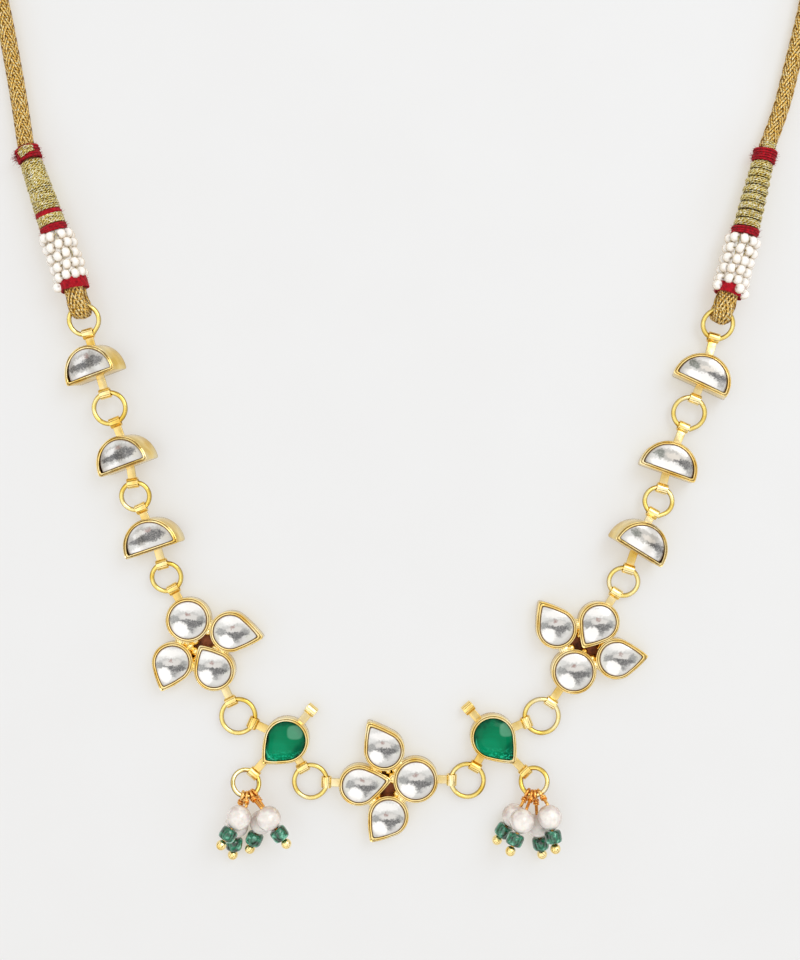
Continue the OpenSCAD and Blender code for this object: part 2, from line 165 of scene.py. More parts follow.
# The room: pale overhead, darker and warmer near the horizon, so that the gold has edges
scene.world = bpy.data.worlds.new("room")
room = Kit(scene.world, "Background", {"Strength": 1.04})
height = room.axes(room.node("ShaderNodeTexCoord", "Generated"))[2]
room.paint({"Color": height.ramp(
    (0.0, (0.20, 0.13, 0.07)), (0.16, (0.34, 0.26, 0.18)), (0.30, (1.10, 1.08, 1.05)),
    (0.56, (1.22, 1.22, 1.22)), (0.67, (0.26, 0.21, 0.13)), (0.76, (0.36, 0.31, 0.22)),
    (0.84, (1.28, 1.25, 1.21)), (1.0, (0.96, 0.93, 0.89)))})

floorShade = speckled("floorPaint", 45, 4, [(0.3, (0.303, 0.374, 0.478)), (0.7, (0.311, 0.384, 0.490))],
                      {"Roughness": 0.75, "Emission Color": (0.50, 0.43, 0.335), "Emission Strength": 1})
bm = bmesh.new()
bmesh.ops.create_grid(bm, x_segments=1, y_segments=1, size=floorSpec["half"])
bmesh.ops.translate(bm, verts=bm.verts, vec=(0, 0, floorSpec["z"]))
floor = bpy.data.objects.new("floor", bpy.data.meshes.new("floor"))
bm.to_mesh(floor.data)
bm.free()
floor.data.materials.append(floorShade.owner)
scene.collection.objects.link(floor)
print("camera, light and floor")


# making a piece
def finishMesh(name, mesh, kit, node, sharp=0):
    mesh.transform(Matrix.Scale(0.001, 4))
    if sharp:
        mesh.shade_smooth()
        mesh.set_sharp_from_angle(angle=radians(sharp))
    piece = bpy.data.objects.new(name, mesh)
    mesh.materials.append(kit.owner)
    scene.collection.objects.link(piece)
    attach(piece, "root")
    if node:
        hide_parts(node)
    return piece


def finishPiece(name, bm, kit, node, sharp=35):
    bm.normal_update()
    bmesh.ops.recalc_face_normals(bm, faces=bm.faces)
    mesh = bpy.data.meshes.new(name)
    bm.to_mesh(mesh)
    bm.free()
    return finishMesh(name, mesh, kit, node, sharp)


def copyInto(bm, other):
    mesh = bpy.data.meshes.new("spare")
    other.to_mesh(mesh)
    other.free()
    bm.from_mesh(mesh)
    bpy.data.meshes.remove(mesh)


def unit(v):
    return v / np.maximum(np.linalg.norm(v, axis=-1, keepdims=True), 1e-9)


def lengthsAlong(points):
    return np.concatenate([[0], np.cumsum(np.linalg.norm(np.diff(points, axis=0), axis=1))])


def sweep(name, strands, kit, node, corners=4):
    # strands: (points, outward way, half width, half thickness), one closed skin each
    verts, faces, weave, base = [], [], [], 0
    k = np.arange(corners)
    ca, sa = np.cos((k + 0.5) * 2 * pi / corners), np.sin((k + 0.5) * 2 * pi / corners)
    for number, (points, out, wide, thick) in enumerate(strands):
        n = len(points)
        run = unit(np.gradient(points, axis=0))
        side = unit(np.cross(run, out))
        rise = np.cross(side, run)
        wide, thick = (np.broadcast_to(np.asarray(half, float).reshape(-1, 1, 1), (n, 1, 1))
                       for half in (wide, thick))
        ring = (points[:, None] + side[:, None] * wide * ca[None, :, None]
                + rise[:, None] * thick * sa[None, :, None])
        verts.append(ring.reshape(-1, 3))
        weave.append(np.stack([np.broadcast_to(ca, (n, corners)),
                               np.broadcast_to(lengthsAlong(points)[:, None], (n, corners)),
                               np.full((n, corners), number * 0.618 % 1)], 2).reshape(-1, 3))
        first = base + np.arange(n - 1)[:, None] * corners
        faces += np.stack([first + k, first + corners + k, first + corners + (k + 1) % corners,
                           first + (k + 1) % corners], 2).reshape(-1, 4).tolist()
        faces += [(base + k).tolist(), (base + (n - 1) * corners + k[::-1]).tolist()]
        base += n * corners
    mesh = bpy.data.meshes.new(name)
    mesh.from_pydata(np.concatenate(verts).tolist(), [], faces)
    layer = mesh.attributes.new("weave", "FLOAT_VECTOR", "POINT")
    layer.data.foreach_set("vector", np.concatenate(weave).astype(np.float32).ravel())
    mesh.shade_smooth()
    return finishMesh(name, mesh, kit, node)


def smoothLine(points, step):
    p = np.array(points, float)
    ends = np.vstack([2 * p[0] - p[1], p, 2 * p[-1] - p[-2]])
    line = []
    for i in range(1, len(ends) - 2):
        a, b, c, d = ends[i - 1:i + 3]
        count = max(2, int(np.linalg.norm(c - b) / step))
        t = np.linspace(0, 1, count, endpoint=False)[:, None]
        line.append(0.5 * (2 * b + (c - a) * t + (2 * a - 5 * b + 4 * c - d) * t ** 2
                           + (3 * b - a - 3 * c + d) * t ** 3))
    line = np.vstack(line + [p[-1:]])
    gone = lengthsAlong(line)
    even = np.linspace(0, gone[-1], int(gone[-1] / step) + 1)
    return np.stack([np.interp(even, gone, line[:, k]) for k in range(3)], 1), even


# threads and cords
def metalThread(name, low, mid, high, glint, twist, sparkle, strandGapShade, roughness):
    kit = shade(name, {"Metallic": 0.5, "Roughness": roughness, "Specular IOR Level": 0.18})
    across, along, strand = kit.axes(kit.attribute("weave"))
    ply = (along * twist + (across * 2.6 + strand * 44)).math("SINE")
    fleck = kit.noise(2600, 2, 0.7)
    grain = (fleck - 0.5) * sparkle + 0.52
    # the twist's stripes along each strand are partly the thread's pattern and partly painted highlight
    tone = (ply * (0.16 * sparkle) + grain).ramp((0.30, low), (0.48, mid), (0.66, high))
    # painted glints: the brightest flecks turned to the glint colour
    tone = kit.blend(fleck.math("GREATER_THAN", 0.58) * (0.9 * sparkle), tone, glint)
    tone = kit.blend(kit.noise(420, 2) * 0.2, tone, low)
    # painted shade between strands: each strand darker towards its edges
    edge = across.math("ABSOLUTE").spread(0.42, 0.7, 0, strandGapShade)
    kit.paint({"Base Color": kit.blend(edge, tone, (low[0] * 0.45, low[1] * 0.38, low[2] * 0.2))})
    kit.bump(ply + fleck * (1.5 + sparkle / 2), 0.75, 0.00012)
    return kit


cordGold = metalThread("cordGold", (0.42, 0.19, 0.01), (0.95, 0.58, 0.11), (1.0, 0.86, 0.40),
                       (1, 0.97, 0.72), twist=9, sparkle=0.65, strandGapShade=0.9, roughness=0.33)
wrapGold = metalThread("wrapGold", (0.20, 0.10, 0.001), (1.0, 0.77, 0.13), (1.0, 0.97, 0.52),
                       (1, 1.0, 0.92), twist=8, sparkle=1.15, strandGapShade=0.45, roughness=0.3)
coreShade = speckled("cordCore", 900, 3, [(0.3, (0.10, 0.05, 0.01)), (0.8, (0.30, 0.17, 0.05))],
                     {"Roughness": 0.8})
redShade = speckled("redThread", 1500, 4, [(0.3, (0.22, 0.001, 0.008)), (0.7, (0.62, 0.006, 0.022))],
                    {"Roughness": 0.85, "Specular IOR Level": 0.2, "Sheen Weight": 0.08,
                     "Sheen Roughness": 0.5})
across, along, strand = redShade.axes(redShade.attribute("weave"))
redShade.bump((along * 9 + across * 3).math("SINE") + redShade.noise(1500, 4), 0.6, 0.0001)

# The cords' ways round the neck, in millimetres, from the barrel to the thread binding
routes = {
    "left": [(-3.5, 234, 2.95), (-9, 233.5, 2.8), (-17, 232, 2.3), (-26, 229.5, 1.9), (-35, 226, 1.75),
             (-44, 221.5, 1.75), (-52, 216.5, 1.75), (-59, 210.5, 1.75), (-65, 204, 1.75), (-70, 197, 1.75),
             (-74, 189.5, 1.75), (-76.8, 181.5, 1.75), (-78.2, 173.5, 1.75), (-78.2, 165.5, 1.75),
             (-77, 158, 1.75), (-75.4, 150.5, 1.75), (-73.9, 142.5, 1.75), (-72.5, 134.5, 1.9),
             (-71.1, 126, 2.45)],
    "right": [(9.5, 234, 2.95), (15, 233.5, 2.8), (24, 232, 2.3), (33.5, 229, 1.9), (42.5, 225.5, 1.75),
              (51.5, 221, 1.75), (60, 215.5, 1.75), (67.5, 209, 1.75), (74, 201.5, 1.75), (79, 193.5, 1.75),
              (82.8, 184.5, 1.75), (84.9, 175.5, 1.75), (85.4, 166.5, 1.75), (84.5, 158, 1.75),
              (82.8, 150, 1.75), (80.8, 142, 1.75), (78.7, 134, 1.9), (75.6, 125.6, 2.45)]}
cordSpec = {"radius": 1.7, "plies": 8, "strands": 2, "pitch": 21, "plyWide": 0.34, "plyThick": 0.27,
            "lift": 0.16, "step": 0.5}


def framesAlong(line, across=None):
    run = unit(np.gradient(line, axis=0))
    if across is None:
        side = unit(np.stack([-run[:, 1], run[:, 0], np.zeros(len(run))], 1))
    else:
        side = unit(across - (across * run).sum(1, keepdims=True) * run)
    return side, np.cross(run, side)


def braid(line, gone, wide, high, spec, across=None):
    # crossing plies of a few strands, over two and under two, on an elliptic core
    side, up = framesAlong(line, across)
    count, plies = spec["strands"], spec["plies"]
    strands = []
    for way in (1, -1):
        for i in range(plies):
            turn = 2 * pi / spec["pitch"]
            middle = 2 * pi * i / plies + way * turn * gone
            phase = 2 * i + way * (plies * turn * gone / pi)
            lift = spec["lift"] * np.clip(1.6 * np.sin(pi / 2 * (phase + 0.5)), -1, 1) * way
            reachWide, reachHigh = ((half - spec["plyThick"] - spec["lift"] + lift)[:, None]
                                    for half in (wide, high))
            for k in range(count):
                angle = middle + (k - (count - 1) / 2) * 2 * pi / plies / count
                c, s = np.cos(angle)[:, None], np.sin(angle)[:, None]
                strands.append((line + side * c * reachWide + up * s * reachHigh,
                                unit(side * c * high[:, None] + up * s * wide[:, None]),
                                spec["plyWide"], spec["plyThick"]))
    return strands


def coreOf(line, wide, high, across=None):
    return [(line, framesAlong(line, across)[1], wide, high)]


for side in sides:
    line, gone = smoothLine(routes[side], cordSpec["step"])
    radius = np.full(len(line), cordSpec["radius"])
    inner = cordSpec["radius"] - 2 * cordSpec["plyThick"]
    plies = braid(line, gone, radius, radius, cordSpec) + coreOf(line, inner, inner)
    cord = sweep(side + "_cord_braid", plies, cordGold, side + "_cord")
    print(side, "cord", round(gone[-1], 1), "mm")

# Where each binding starts and the ring's wire lies, with the ways from there
bindings = {"left": {"start": (-70.9, 125.4), "way": -70.5, "wire": (-60.2, 94.4), "foldWay": -75},
            "right": {"start": (75.4, 125), "way": -105.1, "wire": (66.6, 93.4), "foldWay": -108.5}}
bindingRise, bindingZ, sleeveZ = 3.8, 2.5, 3.65
bands = {  # from, to, radius at both ends and, for the red ones, slant
    "left": {"red": [(-0.3, 2.5, 2.45, 2.45, 0.1), (13.2, 14.3, 2.6, 2.65, 0.45),
                     (16.3, 17.7, 2.7, 2.72, 0.3)],
             "gold": [(2.5, 13.4, 2.2, 2.65), (14.1, 16.5, 2.6, 2.7)], "grooves": 0,
             "patch": (0.3, 1.7), "patchRadius": 2.62},
    "right": {"red": [(-0.3, 2.4, 2.35, 2.35, 0.1), (16.0, 17.6, 2.72, 2.72, 0.15)],
              "gold": [(2.4, 16.1, 2.3, 2.75)], "grooves": 8, "patch": (-1.3, -0.1), "patchRadius": 2.1}}
foldBand = {"from": -5.4, "to": -3.2, "radius": 2.65, "turns": 6}
threadSpec = {"gold": 0.21, "red": 0.2, "crossings": 60, "fuzz": 260, "around": 26}


def axisFrom(spot, z, way, rise=0.0):
    w, e = radians(way), radians(rise)
    run, across = np.array([cos(w) * cos(e), sin(w) * cos(e), sin(e)]), np.array([-sin(w), cos(w), 0])
    return np.array([*spot, z]), run, across, np.cross(run, across)


def offAxis(axis, t, swing=0.0, r=0.0):
    # points at t along an axis and r away from it, and the outward way there
    base, run, across, up = axis
    t, swing, r = np.broadcast_arrays(*(np.asarray(value, float) for value in (t, swing, r)))
    out = across * np.cos(swing)[..., None] + up * np.sin(swing)[..., None]
    return base + run * t[..., None] + out * r[..., None], out


def winding(axis, start, end, r0, r1, thread, wobble, lean, gap=1.0, bulge=0.0):
    turns = max(1, (end - start) / (thread * 2 * gap))
    swing = np.linspace(0, 2 * pi * turns, int(turns * threadSpec["around"]))
    t = np.linspace(start + thread, end - thread, len(swing)) + lean * np.sin(swing)
    share = (t - start) / (end - start)
    r = r0 + (r1 - r0) * share - thread * 0.8 + bulge * (np.sin(pi * np.clip(share, 0, 1)) - 1)
    r = r + wobble * (np.sin(swing * 0.37) + np.sin(t * 3.1 + 1.3)) * 0.5
    return *offAxis(axis, t, swing, r), thread * 1.05, thread * 0.8


def crossingThread(axis, start, end, r0, r1, thread, count=22):
    middle, tilt = random.uniform(start + 0.6, end - 0.6), random.uniform(-1.6, 1.6)
    swing = np.linspace(0, random.uniform(1.6, 3.2), count) + random.uniform(0, 2 * pi)
    t = np.clip(middle + tilt * np.linspace(-0.5, 0.5, count), start + 0.2, end - 0.2)
    r = r0 + (r1 - r0) * ((t - start) / (end - start)) + 0.02 * np.sin(np.linspace(0, pi, count))
    return *offAxis(axis, t, swing, r - 0.16), thread, thread * 0.8


def fibres(place, count, spread, bits=5):
    # loose ends of fibre standing off a band of thread
    hairs, taper = [], np.linspace(0.032, 0.014, bits)
    for _ in range(count):
        point, out = place()
        tip = out * random.uniform(0.15, 0.5) * spread + np.array(
            [random.uniform(-1, 1), random.uniform(-1, 1), random.uniform(-0.4, 1)]) * 0.3 * spread
        bend = np.array([random.uniform(-1, 1), random.uniform(-1, 1), 0]) * 0.18 * spread
        t = np.linspace(0, 1, bits)[:, None]
        points = point + tip * t + bend * t * t
        points[:, 2] = np.maximum(points[:, 2], 0.06)
        hairs.append((points, np.tile(np.array([0.3, 0.2, 0.9]), (bits, 1)), taper, taper))
    return hairs


bindingAxis, sleeveAxis, foldAxis = {}, {}, {}
for side in sides:
    spot = bindings[side]
    axis = bindingAxis[side] = axisFrom(spot["start"], bindingZ, spot["way"], bindingRise)
    sleeveAxis[side] = axisFrom(spot["start"], sleeveZ, spot["way"])
    fold = foldAxis[side] = axisFrom(spot["wire"], sleeveZ, spot["foldWay"])
    band, thread = bands[side], threadSpec["gold"]
    gold, red = [], []
    for start, end, r0, r1 in band["gold"]:
        if band["grooves"]:
            step, grow = (end - start) / band["grooves"], (r1 - r0) / band["grooves"]
            for k in range(band["grooves"]):
                a, b, ra, rb = start + k * step, start + (k + 1) * step, r0 + k * grow, r0 + (k + 1) * grow
                gold.append(winding(axis, a, b, ra - 0.45, rb - 0.45, thread, 0.05, 0.1))
                for lean in (random.uniform(0.1, 0.4), -random.uniform(0.1, 0.35)):
                    gold.append(winding(axis, a + 0.1, b - 0.08, ra, rb, thread, 0.12, lean, 1.2, 0.4))
        else:
            gold.append(winding(axis, start, end, r0 - 0.25, r1 - 0.25, thread, 0.1, 0.1))
            gold.append(winding(axis, start, end, r0, r1, thread, 0.14, 0.25, 1.15))
            gold += [crossingThread(axis, start, end, r0, r1, thread)
                     for _ in range(int(threadSpec["crossings"] * (end - start) / 10))]
    # a bit of the cord's own gold that shows in or above the first red band
    low, high = band["patch"]
    for k in range(9):
        swing = np.linspace(0.9, 2.1, 14) + random.uniform(-0.1, 0.1)
        t = (np.linspace(low, high, 14) * 0.2 + 0.8 * (low + (high - low) * k / 8)
             + 0.25 * np.sin(swing * 3 + k))
        gold.append((*offAxis(axis, t, swing, band["patchRadius"] - 0.05 * (k % 2)), 0.17, 0.15))
    sweep(side + "_zari_wrap", gold, wrapGold, side + "_gold_wrap", corners=5)

    thread = threadSpec["red"]
    for start, end, r0, r1, slant in band["red"]:
        red += [winding(axis, start, end, r0 - depth, r1 - depth, thread, 0.05, 0.05)
                for depth in (0.9, 0.55, 0.22)]
        red += [winding(axis, start, end, r0, r1, thread, 0.12, slant * random.uniform(0.6, 1.1), 1.5)
                for _ in range(3)]
        red += fibres(lambda: offAxis(axis, random.uniform(start, end), random.uniform(0, pi * 2), r0 - 0.1),
                      int(threadSpec["fuzz"] * (end - start) / 3), 1.0)
    if side == "left":  # the knot's tuft
        red += fibres(lambda: offAxis(axis, random.uniform(0.2, 1.4), random.uniform(-0.4, 0.9) + pi, 2.3),
                      90, 1.9)
    swing = np.linspace(0, 2 * pi * foldBand["turns"], foldBand["turns"] * threadSpec["around"])
    for r, lean in ((1.75, 0.02), (2.1, 0.04), (2.48, 0.05), (2.68, 0.3), (2.64, -0.25)):
        t = np.linspace(foldBand["from"] + 0.3, foldBand["to"] - 0.3, len(swing)) + lean * np.sin(swing + 1)
        red.append((*offAxis(fold, t, swing, r), 0.25, 0.18))
    red += fibres(lambda: offAxis(fold, random.uniform(foldBand["from"], foldBand["to"]),
                                  random.uniform(0, 2 * pi), foldBand["radius"]), 110, 0.9)
    sweep(side + "_red_thread", red, redShade, side + "_red_bands", corners=5)
print("bindings")

# The folded end: out of the sleeve, round the ring's wire and back beneath itself
foldRows = [(-9.6, 4.45), (-6, 4.72), (-3.4, 4.75), (-1.2, 5.1), (0, 5.25), (1, 5.05), (1.65, 4.5),
            (1.85, 3.65), (1.65, 2.75), (1, 2.15), (0, 1.95), (-1.2, 2.1), (-3.4, 2.55), (-6, 2.58),
            (-8.6, 2.6)]
foldSpec = {"plies": 7, "strands": 2, "pitch": 24, "plyWide": 0.34, "plyThick": 0.24, "lift": 0.12,
            "step": 0.4, "wide": 2.0, "high": 1.0, "bend": -5, "inside": 1.5}
for side in sides:
    x, y = bindings[side]["wire"]
    way, foldWay = radians(bindings[side]["way"]), radians(bindings[side]["foldWay"])
    points = []
    for s, z in foldRows:
        before, after = min(0, s - foldSpec["bend"]), max(s, foldSpec["bend"])
        points.append((x + after * cos(foldWay) + before * cos(way),
                       y + after * sin(foldWay) + before * sin(way), z))
    line, gone = smoothLine(points, foldSpec["step"])
    ends = np.clip(np.minimum(gone, gone[-1] - gone) / 6, 0, 1)
    wide, high = foldSpec["wide"] - 0.35 * (1 - ends), np.full(len(line), foldSpec["high"])
    across = foldAxis[side][2]
    plies = braid(line, gone, wide, high, foldSpec, across) + coreOf(line, wide - 0.42, high - 0.34, across)
    sweep(side + "_cord_fold", plies, cordGold, side + "_cord")
    # the stretch hidden inside the binding
    hidden = np.vstack([offAxis(bindingAxis[side], np.linspace(-0.6, 17, 12))[0], (points[0],)])
    sweep(side + "_cord_inside", coreOf(hidden, foldSpec["inside"], foldSpec["inside"]), coreShade,
          side + "_cord", corners=12)
print("folds")

# white beads
beadShade = shade("whiteBead", {"Roughness": 0.18, "Coat Weight": 0.6, "Coat Roughness": 0.08,
                                "Subsurface Weight": 0.25, "Subsurface Radius": (0.001, 0.0009, 0.0008),
                                "Subsurface Scale": 1})
# painted shade: beads lighter where they face up, darker towards their sides and undersides
beadShade.paint({"Base Color": (beadShade.facingUp() + beadShade.noise(480, 2) * 0.4).ramp(
    (0.2, (0.74, 0.62, 0.47)), (0.7, (0.90, 0.84, 0.76)), (0.98, (0.97, 0.955, 0.94)))})
sleeveSpec = {"rows": 5, "round": 9, "start": 17.6, "end": 27.9, "lining": 2.3,
              "left": {"skew": 0.5, "jitter": 0.2, "loose": [(28.3, 2.75)]},
              "right": {"skew": 0.12, "jitter": 0.13, "loose": [(28.3, 1.15), (28.9, 0.5), (28.4, 2.7)]}}
beadSpec = {"radius": 1.06, "ring": 0.4, "tube": 0.64, "long": 0.82, "seat": 2.62, "around": 14, "section": 8}


def beadArrays(spec):
    around, section = spec["around"], spec["section"]
    i, j = np.meshgrid(np.arange(around), np.arange(section), indexing="ij")
    u, v = i * 2 * pi / around, j * 2 * pi / section
    r = spec["ring"] + spec["tube"] * np.cos(v)
    verts = np.stack([spec["long"] * np.sin(v), r * np.cos(u), r * np.sin(u)], 2).reshape(-1, 3)
    i2, j2 = (i + 1) % around, (j + 1) % section
    faces = np.stack([i * section + j, i2 * section + j, i2 * section + j2, i * section + j2], 2)
    return verts, faces.reshape(-1, 4)


for side in sides:
    spec, own, axis, seat = sleeveSpec, sleeveSpec[side], sleeveAxis[side], beadSpec["seat"]
    run, up = axis[1], axis[3]
    beads, threads = [], []
    gap = (spec["end"] - spec["start"] - 2 * beadSpec["radius"]) / (spec["rows"] - 1)
    for row in range(spec["rows"]):
        for k in range(spec["round"]):
            swing = (2 * pi * (k + 0.5 + own["skew"] * row) / spec["round"]
                     + random.uniform(-1, 1) * own["jitter"] * 0.6)
            t = spec["start"] + beadSpec["radius"] + row * gap + random.uniform(-1, 1) * own["jitter"]
            place, out = offAxis(axis, t, swing, seat + random.uniform(-0.04, 0.02))
            beads.append((place, out, unit(np.cross(run, out) + run * random.uniform(-0.35, 0.35))))
        swing = np.linspace(0, 2 * pi, 40)
        threads.append((*offAxis(axis, spec["start"] + 1 + row * gap, swing, seat), 0.09, 0.09))
    for t, swing in own["loose"]:
        place, out = offAxis(axis, t, swing, seat + 0.45)
        beads.append((place, out, np.cross(run, out)))
    for k in range(spec["round"]):
        t = np.linspace(spec["start"] + 0.2, spec["end"] - 0.2, 30)
        bow = seat + 0.25 * np.sin(t * 3.1)
        threads.append((*offAxis(axis, t, 2 * pi * k / spec["round"], bow), 0.1, 0.1))
    verts, faces = beadArrays(beadSpec)
    mesh = bpy.data.meshes.new(side + "_white_beads")
    mesh.from_pydata(np.concatenate([verts @ np.array((hole, out, np.cross(hole, out))) + place
                                     for place, out, hole in beads]).tolist(), [],
                     np.concatenate([faces + k * len(verts) for k in range(len(beads))]).tolist())
    mesh.shade_smooth()
    finishMesh(side + "_white_beads", mesh, beadShade, side + "_bead_sleeve")
    sweep(side + "_sleeve_thread", threads, wrapGold, None)
    points = offAxis(axis, np.linspace(spec["start"] + 0.1, spec["end"] - 0.1, 14))[0]
    lining = (points, np.tile(up, (14, 1)), spec["lining"], spec["lining"])
    sweep(side + "_sleeve_lining", [lining], beadShade, None, corners=20)
print("white beads")

# gold settings
# the last tone is painted shade with some tarnish, laid where the settings and wires carry it
goldTone = {"deep": (0.86, 0.58, 0.13), "main": (1.0, 0.80, 0.36), "pale": (1.0, 0.92, 0.64),
            "paintedShadeAndTarnish": (0.17, 0.075, 0.004)}


def polishedGold(name, tones, roughness, dents):
    kit = shade(name, {"Metallic": 1})
    tone = kit.noise(260).ramp((0.32, tones["deep"]), (0.52, tones["main"]), (0.75, tones["pale"]))
    tone = kit.blend(kit.attribute("paintedShadeAndTarnish", "Fac") * 0.95, tone, tones["paintedShadeAndTarnish"])  # painted shade with some tarnish, in the grooves, at the seats, at the cup feet and under the wires
    grain = kit.noise(1900, 4, 0.6)
    kit.paint({"Base Color": tone, "Roughness": grain.spread(0, 1, roughness * 0.7, roughness * 1.6)})
    kit.bump(kit.noise(520, 2) + grain * 0.12, dents, 0.00022)
    return kit


settingGold = polishedGold("settingGold", goldTone, 0.15, 0.3)
ringGold = polishedGold("ringGold", goldTone | {"deep": (0.80, 0.56, 0.09), "main": (0.99, 0.80, 0.27)},
                        0.12, 0.16)
ballGold = polishedGold("ballGold", goldTone, 0.14, 0.1)
pinCopper = polishedGold("pinCopper", goldTone | {"deep": (0.66, 0.25, 0.04), "main": (0.93, 0.48, 0.12),
                                                  "pale": (1.0, 0.70, 0.28)}, 0.22, 0.1)
backShade = speckled("darkBack", 700, 3, [(0.3, (0.05, 0.016, 0.01)), (0.8, (0.34, 0.11, 0.05))],
                     {"Metallic": 0.8, "Roughness": 0.5})

# Cups of the flowers: x, y, how far off the tip is (0 for a round one) and the way it points
flowers = {
    "centre": [(-0.1, 6.5, 6.7, 120), (-5.1, -0.4, 6.7, 10), (6.1, 0.6, 0, 0), (0.7, -6.5, 6.3, 235)],
    "left": [(-38.9, 32.3, 0, 0), (-30.6, 30, 6.8, -10), (-42, 23.9, 6.2, 249), (-33.7, 22.3, 5.9, 120)],
    "right": [(34, 30.6, 6.5, 122), (42.4, 31.9, 6.2, 237), (37.4, 22.1, 0, 0), (45.8, 24.6, 6.4, 5)]}
# Solder between neighbours, and the smaller blobs (x, y, radius) that fill the middle
solder = {"centre": [(2.9, 3.6), (-2, 2.8), (-2.4, -3.7), (3.3, -3.2), (1.7, 0.8)],
          "left": [(-34.6, 31.1), (-32.1, 26.1), (-37.8, 23.1), (-40.5, 28)],
          "right": [(38.2, 31.3), (44.1, 28.3), (41.6, 23.3), (35.7, 26.4)]}
filled = {"centre": [(0.6, 2.2, 0.7)],
          "left": [(-38.8, 26.9, 1.1), (-37.6, 25.9, 0.95), (-33.8, 26.6, 0.8), (-36.3, 29.4, 0.7),
                   (-37.6, 28.1, 0.9)],
          "right": [(39.6, 26.0, 0.75), (38.6, 29.2, 0.7), (42.6, 26.6, 0.7)]}
cupSpec = {"high": 3.3, "wall": 0.65, "pocket": 1.6, "pear": 4.05, "round": 4.45, "bulge": 0.15, "gap": 0.06,
           "dome": 0.45, "domeRadius": 15, "plate": 0.7}
moonSpec = {"high": 4.8, "radius": 5.7, "cut": 0.8, "dome": 0.45, "domeRadius": 13, "middle": 2.0,
            "reach": 5.2}
greenSpec = {"high": 3.5, "radius": 4.5, "rise": 0.5, "table": 0.56, "reach": 4.4}
eyeSpec = {"height": 1.1, "bore": 0.76, "radius": 1.06, "wide": 2.2, "neck": 1.6, "shift": 0.1, "wire": 0.47,
           "strip": 0.31, "apart": 0.185}
# Half-moons: the middle of the arc, the way the straight side runs and the lean to the left
moons = {"left": [(-56.4, 81, 17, 21), (-50.2, 63.3, 19, 19), (-45.2, 47, 18.5, 11)],
         "right": [(62.5, 79, -26.5, 9), (55.9, 61.9, -20, 6), (49.4, 46.6, -31, -12)]}
# Green stones: x, y, how far off the tip is, its way and the end of the eye that holds no ring
greens = {"left": (-19.5, 8.5, 6.6, 223.5, (-14.7, 14.2)), "right": (21.4, 9.1, 6.9, 311, (16.6, 14.6))}


def moonZ(moon):
    lean = radians(abs(moon[3]))
    return moonSpec["radius"] * sin(lean) + eyeSpec["height"] * cos(lean)


low = eyeSpec["height"]
leftZ, rightZ = ([moonZ(moon) for moon in moons[side]] for side in sides)
rings = {  # x, y, radius, height of the wire before and after, way, open or closed
    "left": [(-59.4, 91.6, 2.9, sleeveZ, leftZ[0], -72, True),
             (-54.4, 74.2, 3.1, leftZ[0], leftZ[1], -73, False),
             (-49.4, 56.8, 2.75, leftZ[1], leftZ[2], -74, False),
             (-43.4, 40.7, 2.85, leftZ[2], low, -68, False),
             (-29.2, 13, 3.35, low, low, 0, False), (-14.8, 0, 3.25, low, low, 0, False),
             (-27.5, 0, 2.65, low, low + 3, -128, False)],
    "right": [(65.9, 90.8, 2.9, sleeveZ, rightZ[0], -109, True),
              (60.4, 73.3, 3.1, rightZ[0], rightZ[1], -108, True),
              (54.3, 55.8, 2.75, rightZ[1], rightZ[2], -110, True),
              (47.4, 39.8, 2.85, rightZ[2], low, -116, False),
              (31.2, 13, 3.35, low, low, 0, False), (16.4, 0.2, 3.25, low, low, 0, False),
              (29.6, 0.2, 2.65, low, low + 2, -45, False)]}
ringNames = ("ring_1", "ring_2", "ring_3", "ring_4", "ring_5", "ring_6", "drop_ring")


def roundOutline(inset, count=84):
    r = cupSpec["round"] - inset
    return [(r * cos(2 * pi * i / count), r * sin(2 * pi * i / count)) for i in range(count)]


def pearOutline(r, tip, inset, head=60, flank=12):
    a, s = acos(r / tip), (r - inset) / r
    flankLine = []
    for i in range(1, flank):
        u = i / flank
        out = 4 * u * (1 - u) * cupSpec["bulge"]
        flankLine.append(((1 - u) * tip + u * r * cos(a) + out * cos(a), u * r * sin(a) + out * sin(a)))
    edge = [(tip, 0)] + flankLine
    edge += [(r * cos(a + (2 * pi - 2 * a) * i / head), r * sin(a + (2 * pi - 2 * a) * i / head))
             for i in range(head + 1)]
    edge += [(x, -y) for x, y in reversed(flankLine)]
    return [(x * s, y * s) for x, y in edge]


def moonOutline(inset, arc=60, straight=24):
    r, edgeY = moonSpec["radius"] - inset, inset - moonSpec["cut"]
    half = sqrt(r * r - edgeY * edgeY)
    first = atan2(edgeY, half)
    edge = [(r * cos(first + (pi - 2 * first) * i / arc), r * sin(first + (pi - 2 * first) * i / arc))
            for i in range(arc + 1)]
    return edge + [(-half + 2 * half * i / straight, edgeY) for i in range(1, straight)]


def cupOutline(c):
    if c[2]:
        return lambda inset: pearOutline(cupSpec["pear"], c[2], inset)
    return roundOutline


def softened(outline):
    n = len(outline)
    return [((outline[i - 1][0] + 2 * x + outline[(i + 1) % n][0]) / 4,
             (outline[i - 1][1] + 2 * y + outline[(i + 1) % n][1]) / 4) for i, (x, y) in enumerate(outline)]


